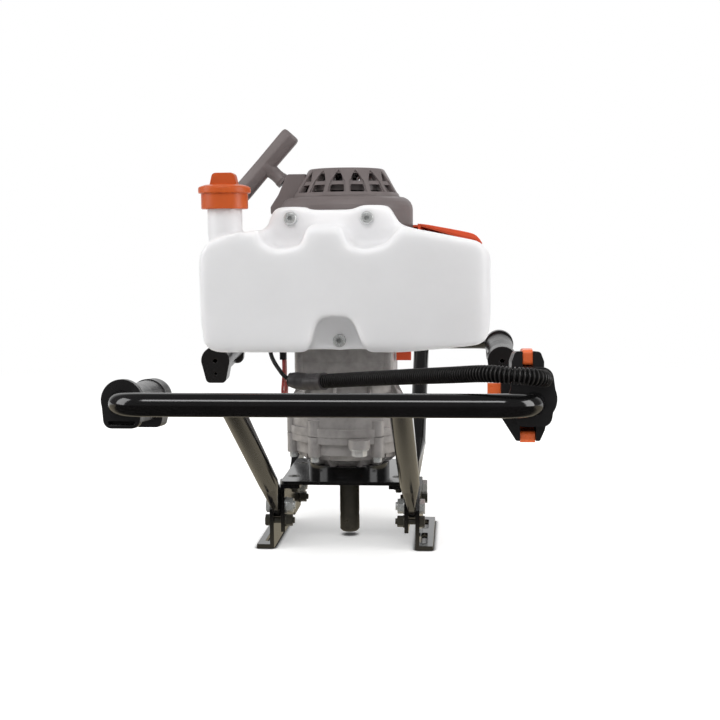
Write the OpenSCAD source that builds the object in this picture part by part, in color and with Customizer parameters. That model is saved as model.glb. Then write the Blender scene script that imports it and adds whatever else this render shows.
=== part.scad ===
// Earth auger power head: two-stroke engine over a reduction gearbox, carried by
// two fold-up tube handles that turn on a pair of foot rails.
// X is to the right of the tank side, Y goes away from it, Z is up.
// The floor under the feet is Z = 0 and the output shaft stands on the Z axis.

/* [Handle frame] */
// Outer diameter of the frame tube
tube_d = 19; // [17:0.5:21]
// Wall of the frame tube
tube_wall = 1.5; // [1:0.25:2.5]
// Distance of each cross bar from the shaft axis
bar_y = 280; // [270:1:300]
// Height of the cross bars
bar_z = 174; // [168:1:180]
// Short side of a handle, from the shaft plane to the arm
arm_short = 161; // [158:1:166]
// Long side of a handle, from the shaft plane to the arm
arm_long = 169; // [166:1:174]
// Centre line radius of the tube bends
bend_r = 28; // [26:1:32]
// Distance of the arm ends from the shaft axis
arm_end_y = 154; // [150:1:158]
// Drop of an arm between its bend and its end
arm_tilt = 5; // [3:0.5:6]
// Half distance between the legs
leg_x = 66; // [65:0.5:67]
// Thickness of the flattened leg ends
leg_flat = 6; // [5:0.5:7]

/* [Hinges and feet] */
// Distance of the hinge bolts from the shaft axis
hinge_y = 45; // [43:0.5:47]
// Height of the hinge bolts
hinge_z = 40; // [39:0.5:41]
// Hinge bolt diameter
hinge_d = 8; // [6:1:8]
// Length of a foot rail
foot_len = 120; // [114:1:124]
// Height of a foot rail
foot_h = 50; // [48:1:52]
// Width of a foot
foot_w = 17; // [15:1:20]
// Sheet thickness of the rails and the hangers
sheet_t = 4; // [3:0.5:4]

/* [Base plate and gearbox] */
// Base plate width
plate_x = 124; // [120:1:124]
// Base plate depth
plate_y = 120; // [116:1:124]
// Base plate thickness
plate_t = 3.5; // [3:0.5:4]
// Height of the base plate top
plate_z = 67; // [66:0.5:68]
// Radius of the spacer ring between base plate and gearbox
ring_r = 41; // [40:0.5:43]
// Height of the spacer ring
ring_h = 10; // [9:0.5:11]
// Radius of the gearbox body
gear_case_r = 63; // [62:0.5:65]
// Output shaft diameter
shaft_d = 20; // [18:1:20]
// Height of the output shaft end above the floor
shaft_z = 4; // [3:0.5:8]
// Cross hole in the output shaft for the drill pin
pin_hole_d = 6.5; // [5:0.5:7]

/* [Engine] */
// Half width of the crankcase
case_x = 48; // [46:0.5:50]
// Height of the crankcase split line
case_split_z = 183; // [180:1:186]
// Crankshaft journal diameter
crank_d = 15; // [14:0.5:16]
// Distance between cooling fins
fin_pitch = 7; // [6.5:0.5:8]

/* [Tank] */
// Wall of the blow-moulded tank
tank_wall = 2.5; // [2:0.25:3]
// Outer radius of the filler neck
neck_r = 16; // [15:0.5:17]
// Outer radius of the filler cap flange
cap_r = 24; // [23:0.5:26]

/* [Starter] */
// Radius of the starter cover base
cover_r = 66; // [65:0.5:66]
// Number of vent slots around the starter dome
vents = 15; // [12:1:18]
// Length of the starter grip
pull_len = 80; // [74:1:84]
// Starter rope diameter
rope_d = 3.5; // [3:0.25:4]

/* [Wiring] */
// Crest diameter of the ribbed conduit
conduit_d = 12.5; // [11:0.5:13]
// Number of ribs on the conduit
conduit_ribs = 138; // [100:1:160]

/* [Fits] */
// Radial running clearance on pins and shafts
run_fit = 0.06; // [0.03:0.01:0.1]
// Gap between parts that pass each other
gap = 0.4; // [0.3:0.05:0.5]
// Backlash between gear teeth
backlash = 0.25; // [0.2:0.05:0.4]

/* [Hidden] */
$fn = 64;
tube_r = tube_d / 2;
leg_r = tube_r - 0.25;
leg_rise = atan2(bar_z - hinge_z, bar_y - hinge_y);
leg_len = norm([bar_z - hinge_z, bar_y - hinge_y]);
hanger_x = leg_x - leg_flat / 2 - gap;
rail_x = leg_x + leg_flat / 2 + gap;
hinge_r = hinge_d / 2;
stop_r = 3;
tail_len = 40;
tail_w = 8.5;
flat_w = 12;
flat_end = 26;
taper_end = 72;
stop_off = flat_w + stop_r + gap;
stop_y = hinge_y + stop_off * sin(leg_rise);
stop_z = hinge_z - stop_off * cos(leg_rise);
shaft_r = shaft_d / 2;
seat_z = plate_z + ring_h;
pack_z = seat_z + 3;
bearing_h = 7;
cover_floor = pack_z + 2 * bearing_h + 1;
gear_split = 110;
gear_top = 168;
module_mm = 1;
teeth_in = 10;
teeth_mid = 45;
teeth_low = 11;
teeth_out = 44;
counter_r = 4;
boss_r = 32;
boss_bolt = 19;
lug_r = 72;
lug_top = 308;
bolt_boss_z = 90;
plug_x = 16;
plug_y = -gear_case_r - 2.5;
plug_z = 101.5;
// How far a drawn bend stands proud of the straight tube
bend_proud = 0.02;
counter_y = module_mm * (teeth_in + teeth_mid) / 2;
crank_r = crank_d / 2;
case_front = -50;
case_back = 46;
case_top = 285;
cyl_z = 243;
tank_front = -132;
tank_back = -68;
tank_low = 199;
lug_face = -90;
foot_face = -95;
neck_x = -103.5;
neck_y = -100;
neck_top = 343;
screw_xl = -44;
screw_xr = 27;
screw_z = 321;
low_screw_x = 1;
low_screw_z = 208;
dome_r = 50;
dome_top_r = 36;
dome_z = 346;
dome_top = 370;
baffle_r = dome_r - 10.2;
pull_dir = [-0.745, 0, 0.667];
pull_tilt = atan2(0.745, 0.667);
ear_p = [-63, 0, 359];
rope_turn = ear_p - 17 * pull_dir;
conduit_route = [[176, -253, 193], [176, -266, 193], [168, -280, 196], [150, -284, 198], [130, -273, 198],
    [104, -240, 193], [60, -180, 184], [4, -112, 173], [-26, -86, 168], [-38, -79, 168], [-50, -76, 169]];
cable_route = [[-51.2, -76, 170], [-58, -73, 176], [-69, -62, 192], [-74, -30, 212], [-71, 16, 230],
    [-69, 46, 242], [-69, 58, 243]];
wire_route = [[-52.2, -77.5, 167], [-54, -73, 158], [-57, -65, 151], [-59, -58, 156], [-58, -56, 172],
    [-58, -56, 186]];
coil_route = [[-58, -56, 197.5], [-61, -53, 208], [-70, -34, 236], [-74, -24, 256], [-68, -24, 262],
    [-60.2, -24, 262]];
fuel_route = [[-90, -68, 214], [-90, -56, 214], [-92, -20, 218], [-88, 20, 226], [-78, 46, 230],
    [-78, 55.5, 230]];
plug_route = [[-22, 128, 243], [-36, 128, 245], [-54, 116, 262], [-57, 86, 282], [-58, 46, 280],
    [-55, 10, 264], [-55, -4, 262]];
black = "#1c1c1e";
grip_black = "#2a2a2c";
cast = "#b4b1ad";
taupe = "#6f6663";
orange = "#e2552b";
white = "#e4e3e6";
steel = "#c3c4c6";

// Corner rounding for flat outlines given as [x, y, radius]
function unit(v) = v / norm(v);
function corner(a, b, c, r, n) =
    let (u = unit(a - b), w = unit(c - b), h = acos(u * w) / 2)
    let (o = b + unit(u + w) * r / sin(h), p = b + u * r / tan(h), q = b + w * r / tan(h))
    let (s = atan2(p.y - o.y, p.x - o.x), t = atan2(q.y - o.y, q.x - o.x))
    let (e = t - s > 180 ? t - 360 : t - s < -180 ? t + 360 : t)
    [for (k = [0 : n]) o + r * [cos(s + (e - s) * k / n), sin(s + (e - s) * k / n)]];
function flat(p) = [p.x, p.y];
function rounded(p, n = 5) = [for (i = [0 : len(p) - 1]) each p[i].z <= 0 ? [flat(p[i])]
    : corner(flat(p[(i + len(p) - 1) % len(p)]), flat(p[i]), flat(p[(i + 1) % len(p)]), p[i].z, n)];

// Smooth route through hand-placed points
function open_ended(p) = let (n = len(p) - 1) concat([2 * p[0] - p[1]], p, [2 * p[n] - p[n - 1]]);
function spline(p, i, t) = 0.5 * (2 * p[i] + (p[i + 1] - p[i - 1]) * t
    + (2 * p[i - 1] - 5 * p[i] + 4 * p[i + 1] - p[i + 2]) * t * t
    + (3 * p[i] - p[i - 1] - 3 * p[i + 1] + p[i + 2]) * t * t * t);
function at(p, u) = let (i = min(floor(u), len(p) - 4)) spline(p, i + 1, u - i);
function fine(p) = [for (k = [0 : 12 * (len(p) - 3)]) at(p, k / 12)];
function hop(q, i) = i + 1 < len(q) ? norm(q[i + 1] - q[i]) : 0;
function run_length(q) = [for (i = 0, s = 0; i < len(q); s = s + hop(q, i), i = i + 1) [s, i / 12]];
function evenly(route, n) = let (p = open_ended(route), t = run_length(fine(p)), total = t[len(t) - 1][0])
    [for (k = [0 : n]) at(p, lookup(total * k / n, t))];
function heading(q) = [for (i = [0 : len(q) - 1]) unit(q[min(i + 1, len(q) - 1)] - q[max(i - 1, 0)])];
function square_to(d, v) = unit(v - d * (d * v));
function sides(d) = [for (i = 0, v = square_to(d[0], [0.1, 0.2, 1]); i < len(d);
    i = i + 1, v = i < len(d) ? square_to(d[i], v) : v) v];
function hoop(c, d, v, r, n) = let (w = cross(d, v)) [for (k = [0 : n - 1])
    c + r * (v * cos(360 * k / n) + w * sin(360 * k / n))];
function strip(a, n, rows) = [for (i = [0 : rows - 2]) for (k = [0 : n - 1])
    let (p = a + i * n + k, q = a + i * n + (k + 1) % n) each [[p, p + n, q], [q, p + n, q + n]]];
function turned(f) = [for (t = f) [t[2], t[1], t[0]]];

// Round cord along a route
module cord(route, r, rows, n = 8) {
    q = evenly(route, rows - 1);
    d = heading(q);
    v = sides(d);
    last = n * (rows - 1);
    polyhedron([for (i = [0 : rows - 1]) each hoop(q[i], d[i], v[i], r, n)],
        concat(strip(0, n, rows), [for (k = [1 : n - 2]) [0, k, k + 1]],
            [for (k = [1 : n - 2]) [last, last + k + 1, last + k]]));
}

// Ribbed tube along a route: one crest and one root ring for each rib, and a bore
module ribbed_tube(route, r, bore, ribs, n = 8) {
    rows = 2 * ribs + 1;
    q = evenly(route, rows - 1);
    d = heading(q);
    v = sides(d);
    step = 6;
    inner = floor((rows - 1) / step);
    pick = [for (i = [0 : inner]) round(i * (rows - 1) / inner)];
    b = n * rows;
    far_out = n * (rows - 1);
    far_in = b + n * inner;
    near_gap = min([for (i = [0 : 4 : rows - 1]) for (j = [i + 40 : 4 : rows - 1]) norm(q[i] - q[j])])
        - 2 * r;
    echo(str("conduit least self gap mm ", near_gap));
    polyhedron(concat([for (i = [0 : rows - 1]) each hoop(q[i], d[i], v[i], i % 2 == 1 ? r : r - 0.9, n)],
        [for (i = pick) each hoop(q[i], d[i], v[i], bore, n)]),
        concat(strip(0, n, rows), turned(strip(b, n, inner + 1)),
            [for (k = [0 : n - 1]) let (m = (k + 1) % n) each [[k, m, b + k], [m, b + m, b + k]]],
            [for (k = [0 : n - 1]) let (m = (k + 1) % n)
                each [[far_out + k, far_in + k, far_out + m], [far_out + m, far_in + k, far_in + m]]]));
}

// Spur gear outline with involute flanks
function flank(rb, r) = r <= rb ? 0 : sqrt(r * r / rb / rb - 1) * 180 / PI - acos(rb / r);
function gear_outline(m, z) =
    let (rp = m * z / 2, rb = rp * cos(20), ra = rp + 0.95 * m, rf = rp - 1.2 * m)
    let (half = 90 / z - backlash / 2 / rp * 90 / PI + flank(rb, rp))
    let (rs = [rf, max(rf + 0.2, rb), rp, ra - 0.3, ra])
    [for (i = [0 : z - 1]) each concat(
        [for (r = rs) r * [cos(360 * i / z - half + flank(rb, r)), sin(360 * i / z - half + flank(rb, r))]],
        [for (k = [4 : -1 : 0]) rs[k] * [cos(360 * i / z + half - flank(rb, rs[k])),
            sin(360 * i / z + half - flank(rb, rs[k]))]])];

// Plain shapes laid along the axes
module rod_x(x0, x1, y, z, r) {
    translate([x0, y, z]) rotate([0, 90, 0]) cylinder(r = r, h = x1 - x0);
}
module rod_y(y0, y1, x, z, r) {
    translate([x, y0, z]) rotate([-90, 0, 0]) cylinder(r = r, h = y1 - y0);
}
module rod_z(z0, z1, x, y, r) {
    translate([x, y, z0]) cylinder(r = r, h = z1 - z0);
}
module rod(p, q, r) {
    d = q - p;
    translate(p) rotate([0, acos(d.z / norm(d)), atan2(d.y, d.x)]) cylinder(r = r, h = norm(d));
}
module block(x0, x1, y0, y1, z0, z1) {
    translate([x0, y0, z0]) cube([x1 - x0, y1 - y0, z1 - z0]);
}
module slab_y(y0, y1) {
    translate([0, y1, 0]) rotate([90, 0, 0]) linear_extrude(y1 - y0) children();
}
module slab_x(x0, x1) {
    translate([x0, 0, 0]) rotate([90, 0, 90]) linear_extrude(x1 - x0) children();
}
module hex_z(z0, z1, x, y, across) {
    translate([x, y, z0]) linear_extrude(z1 - z0) circle(r = across / sqrt(3), $fn = 6);
}
module hex_x(x0, x1, y, z, across) {
    translate([x0, y, z]) rotate([0, 90, 0]) linear_extrude(x1 - x0) circle(r = across / sqrt(3), $fn = 6);
}

// Base plate and feet
module plate_holes() {
    for (x = [-1, 1]) for (y = [-1, 1]) {
        rod_z(plate_z - 50, plate_z + 50, x * 52, y * 34, 3.2);
        translate([x * 52, y * 34, plate_z - 2.9]) cylinder(r1 = 3.2, r2 = 6.2, h = 3);
        rod_z(plate_z - 50, plate_z + 50, x * boss_bolt, y * boss_bolt, 2.7);
    }
}
module base_plate() {
    color(black) difference() {
        union() {
            translate([0, 0, plate_z - plate_t]) linear_extrude(plate_t) polygon(rounded([
                [-plate_x / 2, -plate_y / 2, 4], [plate_x / 2, -plate_y / 2, 4],
                [plate_x / 2, plate_y / 2, 4], [-plate_x / 2, plate_y / 2, 4]]));
            rod_z(plate_z - 1, seat_z, 0, 0, ring_r);
        }
        rod_z(0, 99, 0, 0, shaft_r + 5);
        plate_holes();
    }
}
module hanger_right() {
    color(black) difference() {
        union() {
            block(hanger_x - sheet_t, hanger_x, -foot_len / 2 + 2, foot_len / 2 - 2, 16, plate_z - plate_t);
            block(hanger_x - 19, hanger_x, -foot_len / 2 + 2, foot_len / 2 - 2,
                plate_z - plate_t - sheet_t, plate_z - plate_t);
        }
        plate_holes();
        rail_holes();
        slab_x(0, 99) polygon(rounded([[-24, 0, 0], [24, 0, 0], [10, 20, 4], [-10, 20, 4]]));
    }
}
module hanger_left() {
    mirror([1, 0, 0]) hanger_right();
}
module rail_holes() {
    for (s = [-1, 1]) {
        rod_x(40, 99, s * hinge_y, hinge_z, hinge_r + 0.05);
        rod_x(40, 99, s * stop_y, stop_z, stop_r + 0.05);
    }
}
module foot_right() {
    color(black) difference() {
        union() {
            block(rail_x, rail_x + sheet_t, -foot_len / 2, foot_len / 2, 0, foot_h);
            block(rail_x, rail_x + foot_w, -foot_len / 2, foot_len / 2, 0, sheet_t);
        }
        rail_holes();
        for (s = [-1, 1]) translate([rail_x + sheet_t + 3.6, s * 28, -1]) linear_extrude(9) union() {
            square([6.5, 34], center = true);
            translate([0, 17]) circle(d = 6.5);
            translate([0, -17]) circle(d = 6.5);
        }
        for (s = [-1, 1]) slab_x(0, 99)
            polygon([[s * (foot_len / 2 + 1), foot_h + 1], [s * (foot_len / 2 + 1), hinge_z - 2],
                [s * (hinge_y + 4), foot_h + 1]]);
    }
}
module foot_left() {
    mirror([1, 0, 0]) foot_right();
}
module hanger_bolts() {
    color(steel) for (x = [-1, 1]) for (y = [-1, 1]) {
        difference() {
            union() {
                rod_z(plate_z - plate_t - sheet_t - 8, plate_z - 0.5, x * 52, y * 34, 3);
                translate([x * 52, y * 34, plate_z - 2.8]) cylinder(r1 = 3, r2 = 5.8, h = 2.8);
            }
            hex_z(plate_z - 2, plate_z + 1, x * 52, y * 34, 4);
        }
        hex_z(plate_z - plate_t - sheet_t - 5, plate_z - plate_t - sheet_t, x * 52, y * 34, 10);
        rod_z(plate_z - plate_t, seat_z + 9, x * boss_bolt, y * boss_bolt, 2.5);
        hex_z(plate_z - plate_t - 3.5, plate_z - plate_t, x * boss_bolt, y * boss_bolt, 8);
    }
}
module cross_bolt(y, z, r, across) {
    rod_x(hanger_x - sheet_t - 9, rail_x + sheet_t + 1, y, z, r);
    rod_x(hanger_x - sheet_t - 1.2, hanger_x - sheet_t, y, z, across * 0.62);
    hex_x(hanger_x - sheet_t - 7, hanger_x - sheet_t - 1.2, y, z, across);
    hex_x(rail_x + sheet_t, rail_x + sheet_t + 5, y, z, across);
}
module hinge_bolts() {
    color(steel) for (s = [-1, 1]) for (m = [0, 1]) mirror([m, 0, 0])
        cross_bolt(s * hinge_y, hinge_z, hinge_r, hinge_d + 5);
}
module stop_bolts() {
    color(steel) for (s = [-1, 1]) for (m = [0, 1]) mirror([m, 0, 0])
        cross_bolt(s * stop_y, stop_z, stop_r, 10);
}

// Gearbox
cover_bolt_angles = [22, 62, 118, 158, 202, 240, 304, 338];
cover_rib_angles = [0, 45, 78, 102, 135, 180, 222, 252, 290, 320];
cover_bolt_r = gear_case_r - 5;
module gearbox_cover() {
    color(cast) difference() {
        union() {
            rotate_extrude() polygon([[0, seat_z], [boss_r, seat_z], [boss_r, seat_z + 4],
                [gear_case_r - 11, bolt_boss_z - 4], [gear_case_r - 10, bolt_boss_z + 1],
                [gear_case_r - 6, bolt_boss_z + 1.5], [gear_case_r - 6, gear_split - 7.5],
                [gear_case_r - 1.6, gear_split - 7], [gear_case_r - 1.6, gear_split], [0, gear_split]]);
            for (a = cover_bolt_angles) rotate([0, 0, a])
                rod_z(bolt_boss_z, gear_split - 0.4, cover_bolt_r, 0, 6.5);
            for (a = cover_rib_angles) rotate([0, 0, a]) slab_y(-2, 2)
                polygon([[boss_r - 1, seat_z + 0.5], [boss_r + 10, seat_z + 0.5],
                    [gear_case_r - 9.5, bolt_boss_z - 3], [gear_case_r - 9.5, 98], [boss_r - 1, 98]]);
            rod_z(plug_z, gear_split - 0.5, plug_x, plug_y, 10.5);
        }
        rod_z(0, 200, 0, 0, shaft_r + 3);
        rod_z(pack_z, cover_floor, 0, 0, 21);
        rod_z(cover_floor, 200, 0, 0, teeth_out * module_mm / 2 + 4);
        rod_z(cover_floor, 200, 0, counter_y, teeth_low * module_mm / 2 + 4);
        rod_z(83, 200, 0, counter_y, counter_r + run_fit);
        for (a = cover_bolt_angles) rotate([0, 0, a]) rod_z(bolt_boss_z - 1, 200, cover_bolt_r, 0, 2.6);
        for (x = [-1, 1]) for (y = [-1, 1])
            rod_z(seat_z - 1, seat_z + 10, x * boss_bolt, y * boss_bolt, 2.5);
        rod_z(plug_z - 1, gear_split - 3, plug_x, plug_y, 4 + 0.05);
    }
}
module gearbox_housing() {
    color(cast) difference() {
        union() {
            rod_z(gear_split, gear_split + 26, 0, 0, gear_case_r - 3);
            for (a = cover_bolt_angles) rotate([0, 0, a])
                rod_z(gear_split + 0.4, gear_split + 16, cover_bolt_r, 0, 6.5);
            rod_z(gear_split, gear_split + 8, 0, 0, gear_case_r - 1);
            rotate_extrude() polygon([[0, 135], [gear_case_r - 3, 135], [gear_case_r - 9, 146], [48, 150],
                [48, gear_top], [0, gear_top]]);
            for (a = [20 : 40 : 340]) rotate([0, 0, a]) slab_y(-1.5, 1.5)
                polygon([[40, 130], [gear_case_r - 2, 130], [gear_case_r - 2, 137], [50, 158], [40, 158]]);
            translate([0, 0, gear_top - 8]) linear_extrude(8) polygon(rounded([[-case_x, case_front, 10],
                [case_x, case_front, 10], [case_x, case_back, 10], [-case_x, case_back, 10]]));
        }
        rod_z(gear_split - 1, 119.5, 0, counter_y, module_mm * teeth_mid / 2 + 2);
        rod_z(gear_split - 1, 119.5, 0, 0, module_mm * teeth_in / 2 + 4);
        rod_z(118, 200, 0, 0, 6 + run_fit);
        rod_z(118, 124, 0, counter_y, counter_r + run_fit);
        rod_z(127, 200, 0, 0, 42);
        for (a = cover_bolt_angles) rotate([0, 0, a])
            rod_z(gear_split - 10, gear_split + 12, cover_bolt_r, 0, 2.5);
    }
}
module gearbox_screws() {
    color(steel) for (a = cover_bolt_angles) rotate([0, 0, a]) {
        rod_z(bolt_boss_z - 3, gear_split + 11, cover_bolt_r, 0, 2.5);
        difference() {
            rod_z(bolt_boss_z - 5.5, bolt_boss_z, cover_bolt_r, 0, 4.2);
            hex_z(bolt_boss_z - 6, bolt_boss_z - 3, cover_bolt_r, 0, 4);
        }
    }
}
module oil_plug() {
    color(steel) {
        rod_z(plug_z - 4, gear_split - 3.5, plug_x, plug_y, 4);
        rod_z(plug_z - 1.6, plug_z, plug_x, plug_y, 9.8);
        hex_z(plug_z - 8, plug_z - 1.2, plug_x, plug_y, 13);
    }
}
module ring_bearing(z0, r0, r1, h) {
    rotate_extrude() polygon([[r0, z0], [r0 + 4, z0], [r0 + 4, z0 + 1.5], [r1 - 4, z0 + 1.5], [r1 - 4, z0],
        [r1, z0], [r1, z0 + h], [r1 - 4, z0 + h], [r1 - 4, z0 + h - 1.5], [r0 + 4, z0 + h - 1.5],
        [r0 + 4, z0 + h], [r0, z0 + h]]);
}
module lower_bearing() {
    color(steel) ring_bearing(pack_z, shaft_r + run_fit, 21, bearing_h);
}
module upper_bearing() {
    color(steel) ring_bearing(pack_z + bearing_h + 1, shaft_r + run_fit, 21, bearing_h);
}
module output_seal() {
    color(black) difference() {
        rod_z(seat_z - 3, pack_z, 0, 0, shaft_r + 3);
        rod_z(0, 200, 0, 0, shaft_r + run_fit);
    }
}
module output_shaft() {
    color(steel) difference() {
        union() {
            rotate_extrude() polygon([[0, shaft_z], [shaft_r - 2, shaft_z], [shaft_r, shaft_z + 2],
                [shaft_r, plate_z - 5], [shaft_r - 0.6, plate_z - 5], [shaft_r - 0.6, plate_z - 3.5],
                [shaft_r, plate_z - 3.5], [shaft_r, cover_floor + 13], [0, cover_floor + 13]]);
            translate([0, 0, cover_floor + 1]) rotate([0, 0, 90]) linear_extrude(10)
                polygon(gear_outline(module_mm, teeth_out));
        }
        rod_x(-20, 20, 0, shaft_z + 18, pin_hole_d / 2);
    }
}
module counter_gear() {
    color(steel) translate([0, counter_y, 0]) {
        rod_z(83.5, 123.5, 0, 0, counter_r);
        translate([0, 0, cover_floor + 0.8]) rotate([0, 0, 90]) linear_extrude(10.4)
            polygon(gear_outline(module_mm, teeth_low));
        translate([0, 0, 111]) rotate([0, 0, -90 + 180 / teeth_mid]) linear_extrude(7)
            polygon(gear_outline(module_mm, teeth_mid));
    }
}
module clutch_drum() {
    color(steel) {
        rod_z(110.4, 131, 0, 0, 3.2);
        rod_z(119.6, 131, 0, 0, 6);
        translate([0, 0, 110.6]) rotate([0, 0, 90]) linear_extrude(8)
            polygon(gear_outline(module_mm, teeth_in));
        rotate_extrude() polygon([[0, 129], [40, 129], [40, 160], [37, 160], [37, 132], [0, 132]]);
    }
}
module clutch_shoes() {
    color("#8b8177") difference() {
        rod_z(136, 156, 0, 0, 34.5);
        rod_z(130, 200, 0, 0, crank_r);
        for (a = [0, 90]) rotate([0, 0, a]) block(9, 40, -3, 3, 130, 170);
        for (a = [0, 90]) rotate([0, 0, a]) block(-40, -9, -3, 3, 130, 170);
    }
}

// Engine
module case_outline() {
    polygon(rounded([[-case_x, case_front, 10], [case_x, case_front, 10],
        [case_x, case_back, 10], [-case_x, case_back, 10]]));
}
module crankcase_lower() {
    color(cast) difference() {
        union() {
            translate([0, 0, gear_top]) linear_extrude(case_split_z - gear_top) case_outline();
            for (x = [-1, 1]) rod_z(gear_top, case_split_z, x * (case_x - 5.5), case_front + 5.5, 6);
        }
        rod_z(0, 300, 0, 0, crank_r + run_fit);
        rod_z(gear_top - 1, gear_top + 3, 0, 0, 38);
    }
}
module crankcase_upper() {
    color(cast) difference() {
        union() {
            translate([0, 0, case_split_z]) linear_extrude(case_top - case_split_z) case_outline();
            for (x = [-1, 1])
                rod_z(case_split_z, case_split_z + 16, x * (case_x - 5.5), case_front + 5.5, 6);
            rod_y(tank_back, case_front + 6, low_screw_x, low_screw_z, 7);
            for (z = [262, 270, 278]) block(-case_x - 1.5, case_x + 1.5, -30, 30, z, z + 3);
        }
        rod_z(0, 300, 0, 0, crank_r + run_fit);
        rod_z(206, 260, 0, 0, 37);
        rod_y(0, 60, 0, cyl_z, 22.5);
        rod_y(tank_back - 1, case_front + 12, low_screw_x, low_screw_z, 2.5);
    }
}
module crankshaft() {
    color(steel) {
        rod_z(134, 214, 0, 0, crank_r);
        rod_z(252, 321, 0, 0, crank_r);
        for (z = [209, 247]) difference() {
            rod_z(z, z + 10, 0, 0, 34);
            block(18, 40, -40, 40, z - 1, z + 11);
        }
        rod_z(219, 247, 12, 0, 5.5);
    }
}
module flywheel() {
    color("#9b9894") difference() {
        union() {
            rod_z(292, 300, 0, 0, 54);
            rod_z(300, 312, 0, 0, 16);
            for (a = [0 : 24 : 336]) rotate([0, 0, a]) block(22, 52, -1.2, 1.2, 299, 313);
        }
        rod_z(280, 330, 0, 0, crank_r);
    }
}
module engine_cylinder() {
    color(cast) difference() {
        union() {
            rod_y(case_back, 104, 0, cyl_z, 27);
            for (i = [0 : 6]) slab_y(case_back + 8 + i * fin_pitch, case_back + 10.4 + i * fin_pitch)
                polygon(rounded([[-40, cyl_z - 38, 10], [40, cyl_z - 38, 10], [40, cyl_z + 38, 10],
                    [-40, cyl_z + 38, 10]]));
            block(-42, 42, 66, 90, cyl_z - 17, cyl_z + 17);
        }
        rod_y(case_back - 1, 92, 0, cyl_z, 22);
        rod_y(90, 110, 0, cyl_z, 5);
        rod_x(-50, -20, 78, cyl_z, 8);
        rod_x(20, 50, 78, cyl_z, 9);
    }
}
module spark_plug() {
    color(white) {
        rod_y(92, 104, 0, cyl_z, 5);
        translate([0, 110, cyl_z]) rotate([90, 0, 0]) linear_extrude(6) circle(r = 16 / sqrt(3), $fn = 6);
        rod_y(110, 124, 0, cyl_z, 5.5);
    }
}
module plug_boot() {
    color(black) difference() {
        union() {
            rod_y(112, 138, 0, cyl_z, 9);
            translate([0, 128, cyl_z]) rotate([0, -90, 0]) cylinder(r = 6, h = 22);
        }
        rod_y(111, 124.4, 0, cyl_z, 5.5);
    }
}
module muffler() {
    color("#6c6a69") {
        difference() {
            slab_y(48, 108) polygon(rounded([[46, 208, 8], [104, 208, 8], [104, 278, 8], [46, 278, 8]]));
            slab_y(50, 106) polygon(rounded([[48, 210, 7], [102, 210, 7], [102, 276, 7], [48, 276, 7]]));
            rod_x(40, 60, 78, cyl_z, 9);
            rod_x(90, 120, 92, 222, 5);
        }
        difference() {
            block(42, 46, 62, 94, cyl_z - 16, cyl_z + 16);
            rod_x(40, 60, 78, cyl_z, 9);
        }
        difference() {
            rod_x(102, 116, 92, 222, 6.5);
            rod_x(101, 120, 92, 222, 5);
        }
    }
}
module carburettor() {
    color("#a8a6a3") difference() {
        union() {
            block(-52, -42, 62, 94, cyl_z - 16, cyl_z + 16);
            block(-86, -52, 63, 93, cyl_z - 15, cyl_z + 15);
            rod_z(cyl_z - 22, cyl_z - 14, -69, 78, 13);
            rod_y(55.5, 64, -78, 230, 3);
            rod_y(58.5, 64, -69, 243, 5);
        }
        rod_x(-90, -40, 78, cyl_z, 8);
        rod_z(cyl_z + 9, cyl_z + 20, -78, 88, 2.5 + run_fit);
    }
}
module choke_lever() {
    color(black) {
        rod_z(cyl_z + 9.5, cyl_z + 19, -78, 88, 2.5);
        translate([-78, 88, cyl_z + 16]) linear_extrude(3) polygon(rounded([[-4, -4, 3], [5, -4, 3],
            [6, 24, 5], [-5, 24, 5]]));
    }
}
module filter_case() {
    color(black) difference() {
        slab_x(-92, -86) polygon(rounded([[52, 212, 8], [104, 212, 8], [104, 274, 8], [52, 274, 8]]));
        rod_x(-99, -80, 78, cyl_z, 8);
    }
}
module filter_cover() {
    color(black) difference() {
        slab_x(-118, -92) polygon(rounded([[52, 212, 8], [104, 212, 8], [104, 274, 8], [52, 274, 8]]));
        slab_x(-115.5, -91) polygon(rounded([[55, 215, 6], [101, 215, 6], [101, 271, 6], [55, 271, 6]]));
        for (i = [0 : 4]) block(-120, -110, 60, 96, 224 + i * 9, 228 + i * 9);
    }
}

// Orange cowl over the cylinder and the silencer
function cowl_side(t) = [[72 + t, 316 - t * 1.03, 0], [130 - t, 300.5 - t, 4], [135 - t, 294, 4],
    [135 - t, 205 - t, 0], [72 + t, 205 - t, 0]];
module shroud() {
    color(orange) difference() {
        union() {
            difference() {
                slab_y(-38, 116) polygon(rounded(cowl_side(0)));
                slab_y(-40, 113.5) polygon(rounded(cowl_side(2.5)));
            }
            difference() {
                block(-46, 74, 70, 116, 206, 316);
                block(-43.5, 80, 66, 113.5, 200, 313.5);
            }
            block(49.5, 75, -14, -2, 205, 210);
            block(49.5, 64, -14, -2, 181, 206);
        }
        block(70, 74.6, 44, 113.5, 200, 312);
        block(-50, -40, 60, 98, 200, 264);
        rod_y(100, 120, 0, cyl_z, 11);
        block(104, 140, 84, 100, 214, 230);
        for (i = [0 : 5]) block(82 + i * 8, 86 + i * 8, 20, 60, 280, 330);
        for (i = [0 : 4]) block(-34 + i * 17, -26 + i * 17, 110, 120, 262, 300);
    }
}

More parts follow.
